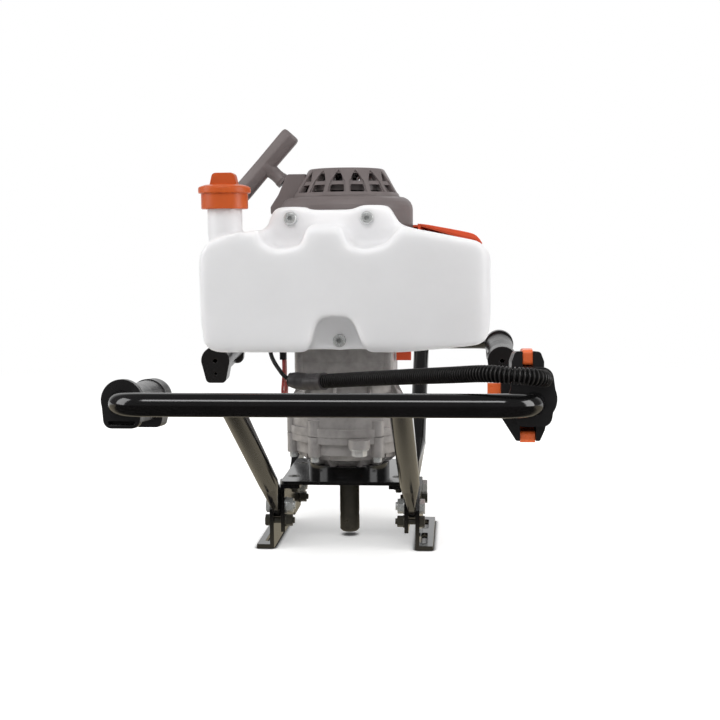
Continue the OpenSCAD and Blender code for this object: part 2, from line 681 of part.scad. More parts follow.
// Fan housing, starter and rope
module cover_lugs(z0, z1) {
    for (a = [45, 135, 225, 315]) rotate([0, 0, a]) {
        rod_z(z0, z1, lug_r, 0, 6);
        block(cover_r - 3, lug_r, -5, 5, z0, z1);
    }
}
module fan_housing() {
    color(cast) difference() {
        union() {
            rod_z(case_top, 302, 0, 0, cover_r);
            cover_lugs(287, 302);
        }
        for (a = [45, 135, 225, 315]) rotate([0, 0, a]) rod_z(288, 303, lug_r, 0, 2);
        rod_z(case_top + 4, 310, 0, 0, cover_r - 5);
        rod_z(case_top - 1, 310, 0, 0, crank_r + 3);
        block(-90, -58, -20, 20, case_top + 4, 310);
    }
}
module recoil_shape() {
    rotate_extrude() polygon(rounded([[0, 302, 0], [cover_r, 302, 0], [cover_r, 343, 12.5],
        [dome_r + 2, 343, 0], [dome_r, dome_z, 0], [dome_top_r, dome_top, 4], [0, dome_top, 0]]));
    for (x = [screw_xl, screw_xr]) rod_y(tank_back, -30, x, screw_z, 8);
    slab_y(-12, 12) polygon(rounded([[-75, 326, 3], [-40, 326, 0], [-40, 366, 0], [-58, 366, 3],
        [-67, 346, 3], [-75, 334, 3]]));
    translate(ear_p) rotate([0, -pull_tilt, 0]) cylinder(r = 7.5, h = 2.5);
    cover_lugs(302, lug_top);
}
module recoil_cover() {
    difference() {
        color(taupe) union() {
            difference() {
                recoil_shape();
                rotate_extrude() polygon([[0, 301], [cover_r - 4, 301], [cover_r - 4, 330],
                    [dome_r - 3, 338],
                    [dome_r - 4, dome_z], [dome_top_r - 4, dome_top - 4], [9, dome_top - 4], [9, 362],
                    [6, 362], [6, 334], [0, 334]]);
            }
            rotate_extrude() polygon([[baffle_r - 2.3, dome_z + 2.8], [baffle_r, dome_z + 2.8],
                [baffle_r, dome_z + 13.5], [baffle_r - 2.3, dome_z + 13.5]]);
        }
        for (i = [0 : vents - 1]) let (a = 180 + (i + 0.5) * 360 / vents) if (abs(a - 360) < 150)
            rotate([0, 0, a]) {
                slab_x(baffle_r + 0.4, 70) polygon(rounded([[-7.2, dome_z + 1, 1], [7.2, dome_z + 1, 1],
                    [6.4, dome_z + 8, 1.5], [-6.4, dome_z + 8, 1.5]], 3));
                slab_x(24, 70) polygon(rounded([[-5, dome_z + 11.5, 1], [5, dome_z + 11.5, 1],
                    [3.2, dome_z + 19, 2.8], [-3.2, dome_z + 19, 2.8]], 3));
            }
        for (x = [screw_xl, screw_xr]) rod_y(tank_back - 1, -38, x, screw_z, 2.5);
        for (a = [45, 135, 225, 315]) rotate([0, 0, a]) rod_z(301, 315, lug_r, 0, 2.2);
        translate(ear_p) rotate([0, -pull_tilt, 0]) translate([0, 0, -30]) cylinder(r = 2.4, h = 40);
        block(-60, -30, -10, 10, 341, 352);
    }
}
module recoil_screws() {
    color(steel) for (a = [45, 135, 225, 315]) rotate([0, 0, a]) {
        rod_z(288.5, lug_top + 1, lug_r, 0, 2);
        hex_z(lug_top, lug_top + 3.5, lug_r, 0, 8);
    }
}
module starter_reel() {
    color(black) difference() {
        rotate_extrude() polygon([[6 + run_fit, 339], [30, 339], [30, 341], [26, 341.5], [26, 346.5],
            [30, 347], [30, 349], [6 + run_fit, 349]]);
        for (a = [0 : 60 : 300]) rotate([0, 0, a]) rod_z(330, 360, 16, 0, 4);
    }
}
module starter_handle() {
    color(taupe) translate(ear_p) rotate([0, -pull_tilt, 0]) difference() {
        union() {
            rotate_extrude() polygon([[0, 2.8], [6, 2.8], [5.2, 10], [7, 20], [0, 20]]);
            translate([0, 0, 17]) linear_extrude(15.5) polygon(rounded([[-pull_len / 2, -8, 3],
                [pull_len / 2, -8, 3], [pull_len / 2, 8, 3], [-pull_len / 2, 8, 3]]));
        }
        cylinder(r = 2.2, h = 60, center = true);
        translate([0, 0, 24]) cylinder(r = 5, h = 20);
    }
}
module starter_rope() {
    color(black) union() {
        rod(rope_turn, ear_p + 27.4 * pull_dir, rope_d / 2);
        translate(rope_turn) sphere(d = rope_d);
        translate(ear_p + 27.4 * pull_dir) sphere(d = 6.2);
        rod(rope_turn, [-15.8, 23.5, 344], rope_d / 2);
    }
}

// Fuel tank
function tank_face(t) = [[-120 + t, tank_low + t, 15], [60, tank_low + t, 40],
    [138 - t, tank_low + 8 + t, 14],
    [140 - t, 230, 40], [140 - t, 289 - t, 12], [129 - t, 299 - t, 10], [70, 311 - t, 6],
    [57 - t, 315 - t, 6], [46 - t, 333 - t, 9], [20 + t, 333 - t, 9], [14, 329 - t, 6],
    [-26, 329 - t, 6], [-32 - t, 332 - t, 9],
    [-60 + t, 332 - t, 9], [-68 + t, 311 - t, 6], [-84, 308.5 - t, 6], [-100, 305 - t, 12],
    [-115 + t, 301 - t, 12],
    [-124 + t, 287, 13], [-123 + t, 230, 40]];
function lug_pocket(t) = [[-72 - t, 345, 0], [-66 - t, 300 - t, 7], [-52, 293 - t, 9],
    [-30 + t, 296 - t, 6],
    [-24 + t, 315 - t, 5], [7 - t, 315 - t, 5], [13 - t, 296 - t, 6], [27, 293 - t, 9], [45, 296 - t, 7],
    [58 + t, 310 - t, 6], [66 + t, 345, 0]];
function low_pocket(t) = [[-31 - t, 190, 0], [-23 - t, 206, 9], [-15 - t, 232 + t, 10],
    [15 + t, 232 + t, 10],
    [25 + t, 206, 9], [33 + t, 190, 0]];
module tank_form(t) {
    intersection() {
        slab_y(tank_front + t, tank_back - t) polygon(rounded(tank_face(t), 6));
        translate([0, 0, 150]) linear_extrude(250) polygon(rounded([[-130 + t, tank_front + t, 16 - t],
            [140 - t, tank_front + t, 16 - t], [140 - t, tank_back - t, 16 - t],
            [-130 + t, tank_back - t, 16 - t]], 6));
        slab_x(-140, 150) polygon(rounded([[tank_front + t, tank_low + t, 12 - t],
            [tank_back - t, tank_low + t, 8 - t],
            [tank_back - t, 334 - t, 4], [lug_face + t, 334 - t, 4], [lug_face + t, 317 - t, 0],
            [tank_front + t, 317 - t, 12 - t]], 6));
    }
}
module tank_hollows(t) {
    slab_y(tank_front - 1, lug_face + t) polygon(rounded(lug_pocket(t), 5));
    slab_y(tank_front - 1, foot_face + t) polygon(rounded(low_pocket(t), 5));
}
module fuel_tank() {
    color(white) difference() {
        union() {
            difference() {
                tank_form(0);
                tank_hollows(0);
            }
            rod_z(299, neck_top, neck_x, neck_y, neck_r);
        }
        difference() {
            tank_form(tank_wall);
            tank_hollows(tank_wall);
            block(-200, 200, lug_face - tank_wall - 1, tank_back + 1, 316, 340);
            rod_y(tank_front, tank_back + 1, low_screw_x, low_screw_z, 7);
        }
        rod_z(290, neck_top + 1, neck_x, neck_y, neck_r - tank_wall);
        for (x = [screw_xl, screw_xr]) rod_y(tank_front, tank_back + 1, x, screw_z, 3.2);
        rod_y(tank_front, tank_back + 1, low_screw_x, low_screw_z, 3.2);
        rod_y(tank_back - 5, tank_back + 1, -90, 214, 3);
    }
}
module pan_screw(x, z, face, depth) {
    rod_y(face - 1, depth, x, z, 2.5);
    difference() {
        translate([x, face, z]) rotate([90, 0, 0]) rotate_extrude() polygon(rounded([[0, 0, 0], [6, 0, 0],
            [6, 4.6, 2], [0, 4.6, 0]]));
        translate([x, face - 2, z]) rotate([90, 0, 0]) linear_extrude(4) circle(r = 2.5, $fn = 6);
    }
}
module tank_screws() {
    color(steel) {
        for (x = [screw_xl, screw_xr]) pan_screw(x, screw_z, lug_face, -39);
        pan_screw(low_screw_x, low_screw_z, foot_face, case_front + 11);
    }
}
module fuel_cap() {
    color(orange) difference() {
        union() {
            translate([neck_x, neck_y, 0]) rotate_extrude() polygon(rounded([[0, 330, 0],
                [cap_r - 2.5, 330, 1], [cap_r - 2.5, 344, 0], [cap_r, 344.5, 1], [cap_r, 350, 2],
                [cap_r - 6, 352, 2], [0, 352, 0]], 4));
            translate([neck_x, neck_y, 0]) slab_y(-6, 6) polygon(rounded([[-13, 350, 0], [13, 350, 0],
                [10, 363, 4],
                [-10, 363, 4]]));
        }
        rod_z(329, neck_top + gap, neck_x, neck_y, neck_r + gap);
    }
}
module fuel_hose() {
    color("#7b5a3a") cord(fuel_route, 3, 40);
}

// Ignition and wiring
module ignition_coil() {
    color(black) {
        block(-60, -49.5, -38, -12, 254, 270);
        rod_y(-12, -4, -55, 262, 4);
    }
}
module plug_lead() {
    color(black) cord(plug_route, 3.5, 44);
}
module stop_wire() {
    color("#a33a3a") cord(wire_route, 1.3, 24);
}
module coil_wire() {
    color(black) cord(coil_route, 1.3, 24);
}
module wire_connector() {
    color(black) block(-61, -55, -59, -53, 186.2, 196.8);
}
module throttle_cable() {
    color(black) cord(cable_route, 2, 36);
}
module conduit() {
    color(black) ribbed_tube(conduit_route, conduit_d / 2, conduit_d / 2 - 2, conduit_ribs);
}

// Handle wings: the far wing is the near one turned half a turn
module tube_bend(a) {
    rotate_extrude(angle = a) translate([bend_r, 0]) difference() {
        circle(r = tube_r + bend_proud);
        circle(r = tube_r - tube_wall - bend_proud);
    }
}
module tube(l, r) {
    difference() {
        cylinder(r = r, h = l);
        translate([0, 0, -1]) cylinder(r = r - tube_wall, h = l + 2);
    }
}
arm_len = (bar_y - bend_r - arm_end_y) / cos(arm_tilt);
module arm_place(x) {
    translate([x, -bar_y, bar_z]) rotate([-arm_tilt, 0, 0]) children();
}
module wing_leg(x) {
    translate([x, -hinge_y, hinge_z]) rotate([-90 + 180 - leg_rise, 0, 0]) {
        difference() {
            union() {
                translate([0, 0, taper_end]) tube(leg_len - taper_end - 1, leg_r);
                hull() {
                    translate([0, 0, taper_end]) linear_extrude(2) circle(r = leg_r - 0.2, $fn = 32);
                    translate([-leg_flat / 2, -flat_w, flat_end]) cube([leg_flat, 2 * flat_w, 1]);
                }
                slab_x(-leg_flat / 2, leg_flat / 2) polygon(rounded(concat([[-flat_w, flat_end + 1, 0]],
                    [for (a = [0 : 9 : 45]) [-flat_w * cos(a), -flat_w * sin(a), 0]],
                    [[-tail_w, -tail_len, 6], [flat_w, -tail_len, 6], [flat_w, flat_end + 1, 0]])));
            }
            rod_x(-20, 20, 0, 0, hinge_r + run_fit);
        }
    }
}
module wing_frame() {
    union() {
        translate([-arm_short + bend_r, -bar_y, bar_z]) rotate([0, 90, 0])
            tube(arm_long + arm_short - 2 * bend_r, tube_r);
        arm_place(-arm_short + bend_r) translate([0, bend_r, 0]) rotate([0, 0, 180]) tube_bend(90);
        arm_place(arm_long - bend_r) translate([0, bend_r, 0]) rotate([0, 0, -90]) tube_bend(90);
        arm_place(-arm_short) translate([0, bend_r, 0]) rotate([-90, 0, 0]) tube(arm_len, tube_r);
        arm_place(arm_long) translate([0, bend_r, 0]) rotate([-90, 0, 0]) tube(arm_len, tube_r);
        difference() {
            union() {
                wing_leg(-leg_x);
                wing_leg(leg_x);
            }
            rod_x(-arm_short, arm_long, -bar_y, bar_z, tube_r - 0.3);
        }
    }
}
module near_frame() {
    color(black) wing_frame();
}
module far_frame() {
    color(black) rotate([0, 0, 180]) wing_frame();
}

// Hand grips, drawn along +Z from the bend end with the palm side toward -Y
grip_len = arm_len + 2;
module egg(r, low, w) {
    union() {
        circle(r = r);
        polygon(rounded([[-r * 0.97, -r * 0.2, 0], [-w, -low, 5], [w, -low, 5], [r * 0.97, -r * 0.2, 0]]));
    }
}
module grip_body() {
    difference() {
        union() {
            linear_extrude(8) union() {
                translate([0, 2]) circle(r = 17);
                polygon(rounded([[-16.8, 3, 0], [-14.5, -21, 7], [14.5, -21, 7], [16.8, 3, 0]]));
            }
            rotate_extrude() polygon(rounded([[0, 4, 0], [17, 4, 0], [15.5, 22, 20],
                [14.2, grip_len / 2, 60],
                [15.5, grip_len - 22, 20], [16.5, grip_len - 12, 0], [16.5, grip_len + 1, 0],
                [0, grip_len + 1, 0]]));
            translate([0, 0, 6]) linear_extrude(grip_len - 24) polygon([[-9, 0], [-7.5, -18],
                [7.5, -18], [9, 0]]);
            translate([0, 0, grip_len - 20]) linear_extrude(21) egg(16.5, 26, 11);
        }
        translate([0, 0, -1]) cylinder(r = tube_r + run_fit, h = grip_len - 1);
        translate([0, -16.5, -1]) linear_extrude(7.5) polygon(rounded([[-10.5, -1.4, 1.2], [10.5, -1.4, 1.2],
            [12, 1.4, 1.2], [-12, 1.4, 1.2]]));
        cylinder(r = 2.5, h = 300);
        translate([0, -15, grip_len - 8]) cylinder(r = 1.6, h = 300);
    }
}
module on_arm(x) {
    arm_place(x) translate([0, bend_r, 0]) rotate([-90, 0, 0]) rotate([0, 0, 180]) children();
}
module near_left_grip() {
    color(grip_black) on_arm(-arm_short) grip_body();
}
module far_left_grip() {
    color(grip_black) rotate([0, 0, 180]) on_arm(arm_long) grip_body();
}
module far_right_grip() {
    color(grip_black) rotate([0, 0, 180]) on_arm(-arm_short) grip_body();
}

// Throttle grip with its trigger below, lock above and stop switch on the inner side
trigger_z = 68;
lock_z = 62;
head_x = 2.5;
head_y = 3;
module throttle_grip() {
    color(grip_black) on_arm(arm_long) difference() {
        union() {
            linear_extrude(9) union() {
                translate([0, 4]) circle(r = 19);
                polygon(rounded([[-18, 8, 6], [-15, 29, 9], [15, 29, 9], [18, 8, 6], [14, -18, 8],
                    [-14, -18, 8]]));
            }
            rotate_extrude() polygon([[0, 4], [17, 4], [15, 24], [15, grip_len - 16], [16.5, grip_len - 10],
                [16.5, grip_len + 1], [0, grip_len + 1]]);
            translate([head_x, head_y, 24]) linear_extrude(50) polygon(rounded([[-13, -head_y, 0],
                [-13, 30, 3], [-10, 38, 3], [10, 38, 3], [13, 30, 3], [13, -head_y, 0]]));
            translate([0, 0, 22]) linear_extrude(48) polygon(rounded([[-15, 0, 0], [-11, -22, 4],
                [-7, -31, 2], [12, -31, 2], [24, -12, 4], [24, 17.5, 2], [0, 16, 0]]));
            translate([0, 0, 69]) linear_extrude(9) polygon(rounded([[-13, 0, 0], [-9, -24, 4],
                [-5, -30, 2], [10, -30, 2], [14, -24, 4], [17, 0, 0]]));
        }
        translate([0, 0, -1]) cylinder(r = tube_r + run_fit, h = grip_len - 1);
        translate([head_x, head_y, 0]) {
            translate([-6.4, -60, 21]) cube([12.8, 44, 53]);
            translate([-4.4, 19, 23]) cube([8.8, 30, 47]);
            translate([0, -20, trigger_z]) rotate([0, 90, 0]) cylinder(r = 2 + 0.02, h = 36, center = true);
            translate([0, 24, lock_z]) rotate([0, 90, 0]) cylinder(r = 2 + 0.02, h = 40, center = true);
            translate([15, 1.6, 36]) cube([30, 10.8, 14]);
        }
        translate([-7, 21.5, -1]) cylinder(r = 4.5, h = 40);
        cylinder(r = 2.5, h = 300);
    }
}
module throttle_trigger() {
    color(orange) on_arm(arm_long) translate([head_x, head_y, 0]) union() {
        translate([-6, 0, 0]) rotate([90, 0, 90]) linear_extrude(12)
            polygon(rounded([[-17.5, trigger_z + 3, 2], [-23, trigger_z + 4, 2], [-34, 48, 6],
                [-36, 26, 3], [-26.5, 26, 3], [-26, 40, 8], [-21, 54, 4]]));
        translate([-11, -20, trigger_z]) rotate([0, 90, 0]) cylinder(r = 2 - run_fit, h = 22);
    }
}
module throttle_lock() {
    color(orange) on_arm(arm_long) translate([head_x, head_y, 0]) union() {
        translate([-4, 0, 0]) rotate([90, 0, 90]) linear_extrude(8) polygon(rounded([[20.5, lock_z + 4, 2],
            [39, lock_z + 4, 3], [40.5, 40, 4], [39, 26, 3], [27, 26, 3], [26, 42, 6], [22, 52, 3]]));
        translate([-9, 24, lock_z]) rotate([0, 90, 0]) cylinder(r = 2 - run_fit, h = 18);
    }
}
module stop_switch() {
    color(orange) on_arm(arm_long) translate([head_x + 17, head_y + 2, 36.4]) cube([15, 10, 9]);
}

base_plate();
hanger_left();
hanger_right();
foot_left();
foot_right();
hanger_bolts();
hinge_bolts();
stop_bolts();
gearbox_cover();
gearbox_housing();
gearbox_screws();
oil_plug();
lower_bearing();
upper_bearing();
output_seal();
output_shaft();
counter_gear();
clutch_drum();
clutch_shoes();
crankcase_lower();
crankcase_upper();
crankshaft();
flywheel();
engine_cylinder();
spark_plug();
plug_boot();
muffler();
carburettor();
choke_lever();
filter_case();
filter_cover();
shroud();
fan_housing();
recoil_cover();
recoil_screws();
starter_reel();
starter_handle();
starter_rope();
fuel_tank();
tank_screws();
fuel_cap();
fuel_hose();
ignition_coil();
plug_lead();
stop_wire();
coil_wire();
wire_connector();
throttle_cable();
conduit();
near_frame();
near_left_grip();
throttle_grip();
throttle_trigger();
throttle_lock();
stop_switch();
far_frame();
far_left_grip();
far_right_grip();
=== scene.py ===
# %% [markdown]
# # Dressing an earth auger's power head
# The imported CAD model brings every rigid piece of the machine, in metres and already in place.
# This lesson adds what CAD leaves plain: the camera and light of a product photograph, the finish of
# each material, soft pieces such as the ribbed conduit, the wires and the starter rope, and a few
# free forms over the solids. Camera and colours were matched to the photograph.

# %% Load the imported frame
import math

import bmesh
import bpy
import numpy as np
from mathutils import Matrix, Vector


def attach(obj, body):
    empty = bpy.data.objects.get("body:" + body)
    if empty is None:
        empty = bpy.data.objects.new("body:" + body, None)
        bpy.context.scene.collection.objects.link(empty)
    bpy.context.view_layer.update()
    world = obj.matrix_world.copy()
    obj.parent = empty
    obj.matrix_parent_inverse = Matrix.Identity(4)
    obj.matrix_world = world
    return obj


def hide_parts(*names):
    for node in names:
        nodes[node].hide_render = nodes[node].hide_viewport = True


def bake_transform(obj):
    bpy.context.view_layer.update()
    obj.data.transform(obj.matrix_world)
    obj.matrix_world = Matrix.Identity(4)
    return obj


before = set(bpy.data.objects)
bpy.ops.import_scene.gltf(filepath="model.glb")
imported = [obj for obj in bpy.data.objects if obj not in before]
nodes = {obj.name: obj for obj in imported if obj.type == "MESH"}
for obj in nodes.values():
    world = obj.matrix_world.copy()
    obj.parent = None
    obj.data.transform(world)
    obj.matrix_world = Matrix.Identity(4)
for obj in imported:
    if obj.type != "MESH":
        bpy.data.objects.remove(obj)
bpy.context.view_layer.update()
scene = bpy.context.scene
MM = 0.001

# %% [markdown]
# ## Camera
# A product shot like this is taken with a normal lens, a little above the middle of the object.
# The camera could be aimed with a Track To constraint, but the view has a small roll, so its three
# axes are written out instead: forward from yaw and pitch, right and up turned by the roll.

# %% Camera at the photograph's angle
YAW, PITCH, ROLL = (math.radians(a) for a in (4.8, 6.0, -0.5))
CAMERA_PLACE = (0.1088, -1.1542, 0.3015)
LENS_MM, SENSOR_MM = 57.5, 36
forward = Vector((-math.sin(YAW) * math.cos(PITCH), math.cos(YAW) * math.cos(PITCH), -math.sin(PITCH)))
level = Vector((math.cos(YAW), math.sin(YAW), 0))
upright = level.cross(forward)
right = level * math.cos(ROLL) + upright * math.sin(ROLL)
top = upright * math.cos(ROLL) - level * math.sin(ROLL)
camera = bpy.data.objects.new("camera", bpy.data.cameras.new("camera"))
scene.collection.objects.link(camera)
camera.data.sensor_width = SENSOR_MM
camera.data.lens = LENS_MM
axes = Matrix((right, top, -forward)).transposed().to_4x4()
camera.matrix_world = Matrix.Translation(CAMERA_PLACE) @ axes
camera.data.clip_start, camera.data.clip_end = 0.05, 60
scene.camera = camera
print("camera at", tuple(round(x, 3) for x in camera.location))

# %% [markdown]
# ## One function for nodes, one for colour
# Every material below is a small node tree. One function adds a node of any kind, sets its
# properties, and fills or links its sockets, so a tree reads as a list of what it is made of.
# Colours are written as sRGB hex, as a paint chart gives them, and turned to linear light once.

# %% Helpers for node trees
def linear(hex_colour):
    """An sRGB hex colour as the linear RGBA that a socket takes."""
    parts = [int(hex_colour[i:i + 2], 16) / 255 for i in (1, 3, 5)]
    return tuple(c / 12.92 if c <= 0.04045 else ((c + 0.055) / 1.055) ** 2.4 for c in parts) + (1,)


def add_node(tree, kind, sockets=(), **settings):
    """Adds one node. Settings are its properties; sockets hold a value or the socket to link."""
    made = tree.nodes.new(kind)
    for name, value in settings.items():
        setattr(made, name, value)
    for name, value in dict(sockets).items():
        if isinstance(value, bpy.types.NodeSocket):
            tree.links.new(value, made.inputs[name])
        else:
            made.inputs[name].default_value = value
    return made


WHITE = (1, 1, 1, 1)
scene.view_settings.view_transform = "Standard"
print("white is", linear("#ffffff"), "mid grey is", [round(x, 3) for x in linear("#808080")])

# %% [markdown]
# ## Studio
# The object stands on a white sweep, a sheet of paper that runs back and up. The page behind is white,
# and the world gives soft, even light. One plain white world would do for matt pieces, but black gloss
# would then turn grey all over. So gloss finds the white page only behind the object and a dark
# room on the camera's side, which leaves narrow bright lines on the tubes.

# %% World: even light, a white page behind
ROOM_LIGHT, ROOM_DARK = 0.82, 0.10
PAGE_EDGE, PAGE_FULL = 0.50, 0.92  # how far a ray points back where the page starts and is full
world = bpy.data.worlds.new("white_sweep")
scene.world = world
world.use_nodes = True
sky = world.node_tree
sky.nodes.clear()
ray = add_node(sky, "ShaderNodeLightPath")
direction = add_node(sky, "ShaderNodeSeparateXYZ",
                     {0: add_node(sky, "ShaderNodeTexCoord").outputs["Generated"]})
page = add_node(sky, "ShaderNodeMapRange",
                {"Value": direction.outputs["Y"], "From Min": PAGE_EDGE, "From Max": PAGE_FULL,
                 "To Min": ROOM_DARK, "To Max": 1.0}, interpolation_type="SMOOTHSTEP")
gloss_ray = add_node(sky, "ShaderNodeMath", {0: ray.outputs["Is Glossy Ray"],
                                             1: ray.outputs["Is Transmission Ray"]},
                     operation="MAXIMUM")
lit = add_node(sky, "ShaderNodeMix", {"Factor": gloss_ray.outputs[0], "A": ROOM_LIGHT,
                                      "B": page.outputs[0]})
seen = add_node(sky, "ShaderNodeMix", {"Factor": ray.outputs["Is Camera Ray"], "A": lit.outputs[0],
                                       "B": 1.0})
backdrop = add_node(sky, "ShaderNodeBackground", {"Color": WHITE, "Strength": seen.outputs[0]})
add_node(sky, "ShaderNodeOutputWorld", {"Surface": backdrop.outputs[0]})
print("room light", ROOM_LIGHT)

# %% [markdown]
# ## Softboxes
# Four rectangular lamps shape the light: a strip in front that draws the line along the tubes, a fill
# at each side, and a broad one overhead. Gloss doesn't see the overhead box, because it would whiten
# the tops of the black tubes.

# %% Four softboxes
SOFTBOXES = [
    # name, place, target, width, height, watts, seen by gloss
    ("front_strip", (-0.10, -1.45, 1.55), (0, -0.1, 0.2), 1.5, 0.42, 8.5, True),
    ("overhead", (0.1, 0.3, 2.0), (0, 0, 0.2), 1.8, 1.8, 4.0, False),
    ("left_fill", (-1.7, -0.5, 0.9), (0, 0, 0.2), 0.9, 1.2, 9.0, True),
    ("right_fill", (1.8, -0.4, 0.7), (0, 0, 0.2), 0.8, 1.2, 10.0, True),
]
for name, place, target, width, height, watts, in_gloss in SOFTBOXES:
    lamp = bpy.data.lights.new(name, "AREA")
    lamp.shape, lamp.size, lamp.size_y, lamp.energy = "RECTANGLE", width, height, watts
    holder = bpy.data.objects.new(name, lamp)
    holder.location = place
    holder.rotation_euler = (Vector(target) - Vector(place)).to_track_quat("-Z", "Y").to_euler()
    holder.visible_glossy = in_gloss
    scene.collection.objects.link(holder)
print("softboxes:", [box[0] for box in SOFTBOXES])

# %% [markdown]
# ## Floor
# The floor is white paper. It keeps the object's shadow, and it fades into the white page some way out.
# Around each foot an ambient occlusion mask paints the paper's colour and glow darker: a painted contact
# shade. A shadow catcher would need compositing, so the paper is a matt sheet that also glows a little,
# only for rays that show it.

# %% Paper sheet
FLOOR_HALF, FLOOR_DROP = 30, 0.5 * MM
bm = bmesh.new()
bmesh.ops.create_grid(bm, x_segments=1, y_segments=1, size=FLOOR_HALF)
floor = bpy.data.objects.new("floor", bpy.data.meshes.new("floor"))
bm.to_mesh(floor.data)
bm.free()
floor.location.z = -FLOOR_DROP
scene.collection.objects.link(floor)
paper = bpy.data.materials.new("white_paper_sweep")
paper.use_nodes = True
sheet = paper.node_tree
sheet.nodes.clear()
print("floor metres across:", 2 * FLOOR_HALF)

# %% Paper, its painted contact shade and its glow
FLOOR_GLOW = 0.40
CONTACT_REACH = 6 * MM
CONTACT_DARK, CONTACT_CLEAR = 0.55, 0.95  # share of open sky at which the paper is dark, and clear
ray = add_node(sheet, "ShaderNodeLightPath")
shows = add_node(sheet, "ShaderNodeMath", {0: ray.outputs["Is Camera Ray"],
                                           1: ray.outputs["Is Glossy Ray"]}, operation="MAXIMUM")
shows = add_node(sheet, "ShaderNodeMath", {0: shows.outputs[0], 1: ray.outputs["Is Transmission Ray"]},
                 operation="MAXIMUM")
occlusion = add_node(sheet, "ShaderNodeAmbientOcclusion", {"Distance": CONTACT_REACH})
open_to_light = add_node(sheet, "ShaderNodeMapRange",
                         {"Value": occlusion.outputs["AO"], "From Min": CONTACT_DARK,
                          "From Max": CONTACT_CLEAR})
glow = add_node(sheet, "ShaderNodeMath", {0: shows.outputs[0], 1: FLOOR_GLOW}, operation="MULTIPLY")
# Painted shade in the glow too: it dims where the occlusion finds little open sky.
glow = add_node(sheet, "ShaderNodeMath", {0: glow.outputs[0], 1: open_to_light.outputs[0]},
                operation="MULTIPLY")
# Painted shade: the paper's colour runs from dark grey where little sky is open to white where it is clear.
painted_paper_shade = add_node(sheet, "ShaderNodeMix",
                      {"Factor": open_to_light.outputs[0], 6: linear("#2a2a2a"), 7: linear("#f6f6f5")},
                      data_type="RGBA")
matt = add_node(sheet, "ShaderNodeBsdfDiffuse", {"Color": painted_paper_shade.outputs[2]})
page_light = add_node(sheet, "ShaderNodeEmission", {"Color": WHITE, "Strength": glow.outputs[0]})
both = add_node(sheet, "ShaderNodeAddShader", {0: matt.outputs[0], 1: page_light.outputs[0]})
print("floor glow for the page:", FLOOR_GLOW)

# %% Fade into the page
SWEEP_NEAR, SWEEP_FAR = 0.55, 1.7
spot = add_node(sheet, "ShaderNodeTexCoord").outputs["Object"]
away = add_node(sheet, "ShaderNodeVectorMath", {0: spot}, operation="LENGTH")
fade = add_node(sheet, "ShaderNodeMapRange",
                {"Value": away.outputs["Value"], "From Min": SWEEP_NEAR, "From Max": SWEEP_FAR},
                interpolation_type="SMOOTHSTEP")
far_page = add_node(sheet, "ShaderNodeEmission", {"Color": WHITE, "Strength": shows.outputs[0]})
swept = add_node(sheet, "ShaderNodeMixShader", {0: fade.outputs[0], 1: both.outputs[0],
                                                2: far_page.outputs[0]})
print("fade from", SWEEP_NEAR, "to", SWEEP_FAR, "m")

# %% [markdown]
# ## What gloss finds on the floor
# A studio puts black card, called a flag, in front of shiny things, so that faces that look down and
# forward don't wash out. No card is here: the floor shows glossy rays alone a painted reflection, an
# emission that is dark in front, warm beige under the object, and the white paper again further back.

# %% Painted reflection: dark in front and warm beige under the object
FLAG_START, FLAG_END = -0.06, -0.22
DARK_FRONT_REFLECTION, WARM_UNDER_REFLECTION = linear("#3a3733"), linear("#efe3c9")
NEAR_GLOSS = 0.48
BACK_START, BACK_END = 0.25, 0.6
ahead = add_node(sheet, "ShaderNodeSeparateXYZ", {0: spot})
flag = add_node(sheet, "ShaderNodeMapRange",
                {"Value": ahead.outputs["Y"], "From Min": FLAG_END, "From Max": FLAG_START},
                interpolation_type="SMOOTHSTEP")
# Painted reflection: dark in front of the object and warm beige under it, seen by glossy rays only.
painted_reflection_colour = add_node(sheet, "ShaderNodeMix", {"Factor": flag.outputs[0], 6: DARK_FRONT_REFLECTION, 7: WARM_UNDER_REFLECTION},
                     data_type="RGBA")
painted_floor_reflection = add_node(sheet, "ShaderNodeEmission", {"Color": painted_reflection_colour.outputs[2], "Strength": NEAR_GLOSS})
behind = add_node(sheet, "ShaderNodeMapRange",
                  {"Value": ahead.outputs["Y"], "From Min": BACK_START, "From Max": BACK_END,
                   "To Min": 1.0, "To Max": 0.0})
mirrored = add_node(sheet, "ShaderNodeMath", {0: ray.outputs["Is Glossy Ray"], 1: behind.outputs[0]},
                    operation="MULTIPLY")
studio = add_node(sheet, "ShaderNodeMixShader", {0: mirrored.outputs[0], 1: swept.outputs[0],
                                                 2: painted_floor_reflection.outputs[0]})
add_node(sheet, "ShaderNodeOutputMaterial", {"Surface": studio.outputs[0]})
floor.data.materials.append(paper)
print("flag strength in gloss:", NEAR_GLOSS)

# %% [markdown]
# ## A moulded surface
# Plastics, paint and castings differ in colour and gloss, but each has some fine relief and some
# slow drift of tone. One function builds that base: a shader, a fine noise that gives bump, and a broad
# noise that shifts the colour and the roughness. No real edge is sharp, so a Bevel node rounds each
# edge's shading by a few tenths of a millimetre, or about one on soft grips and castings: a modelled
# fillet on every edge would cost far more faces. Sizes are in millimetres and become a noise scale.
# Object coordinates are used, because a CAD node has no UVs and its vertices are already in metres.

# %% A base for moulded and painted finishes
PATCH = {"Detail": 4.0, "Roughness": 0.55}
GRAIN = {"Detail": 3.0, "Roughness": 0.6}
TONE_SPREAD, GLOSS_SPREAD = (0.35, 0.65), (0.3, 0.7)  # the part of the noise that is used
EDGE_SAMPLES = 6


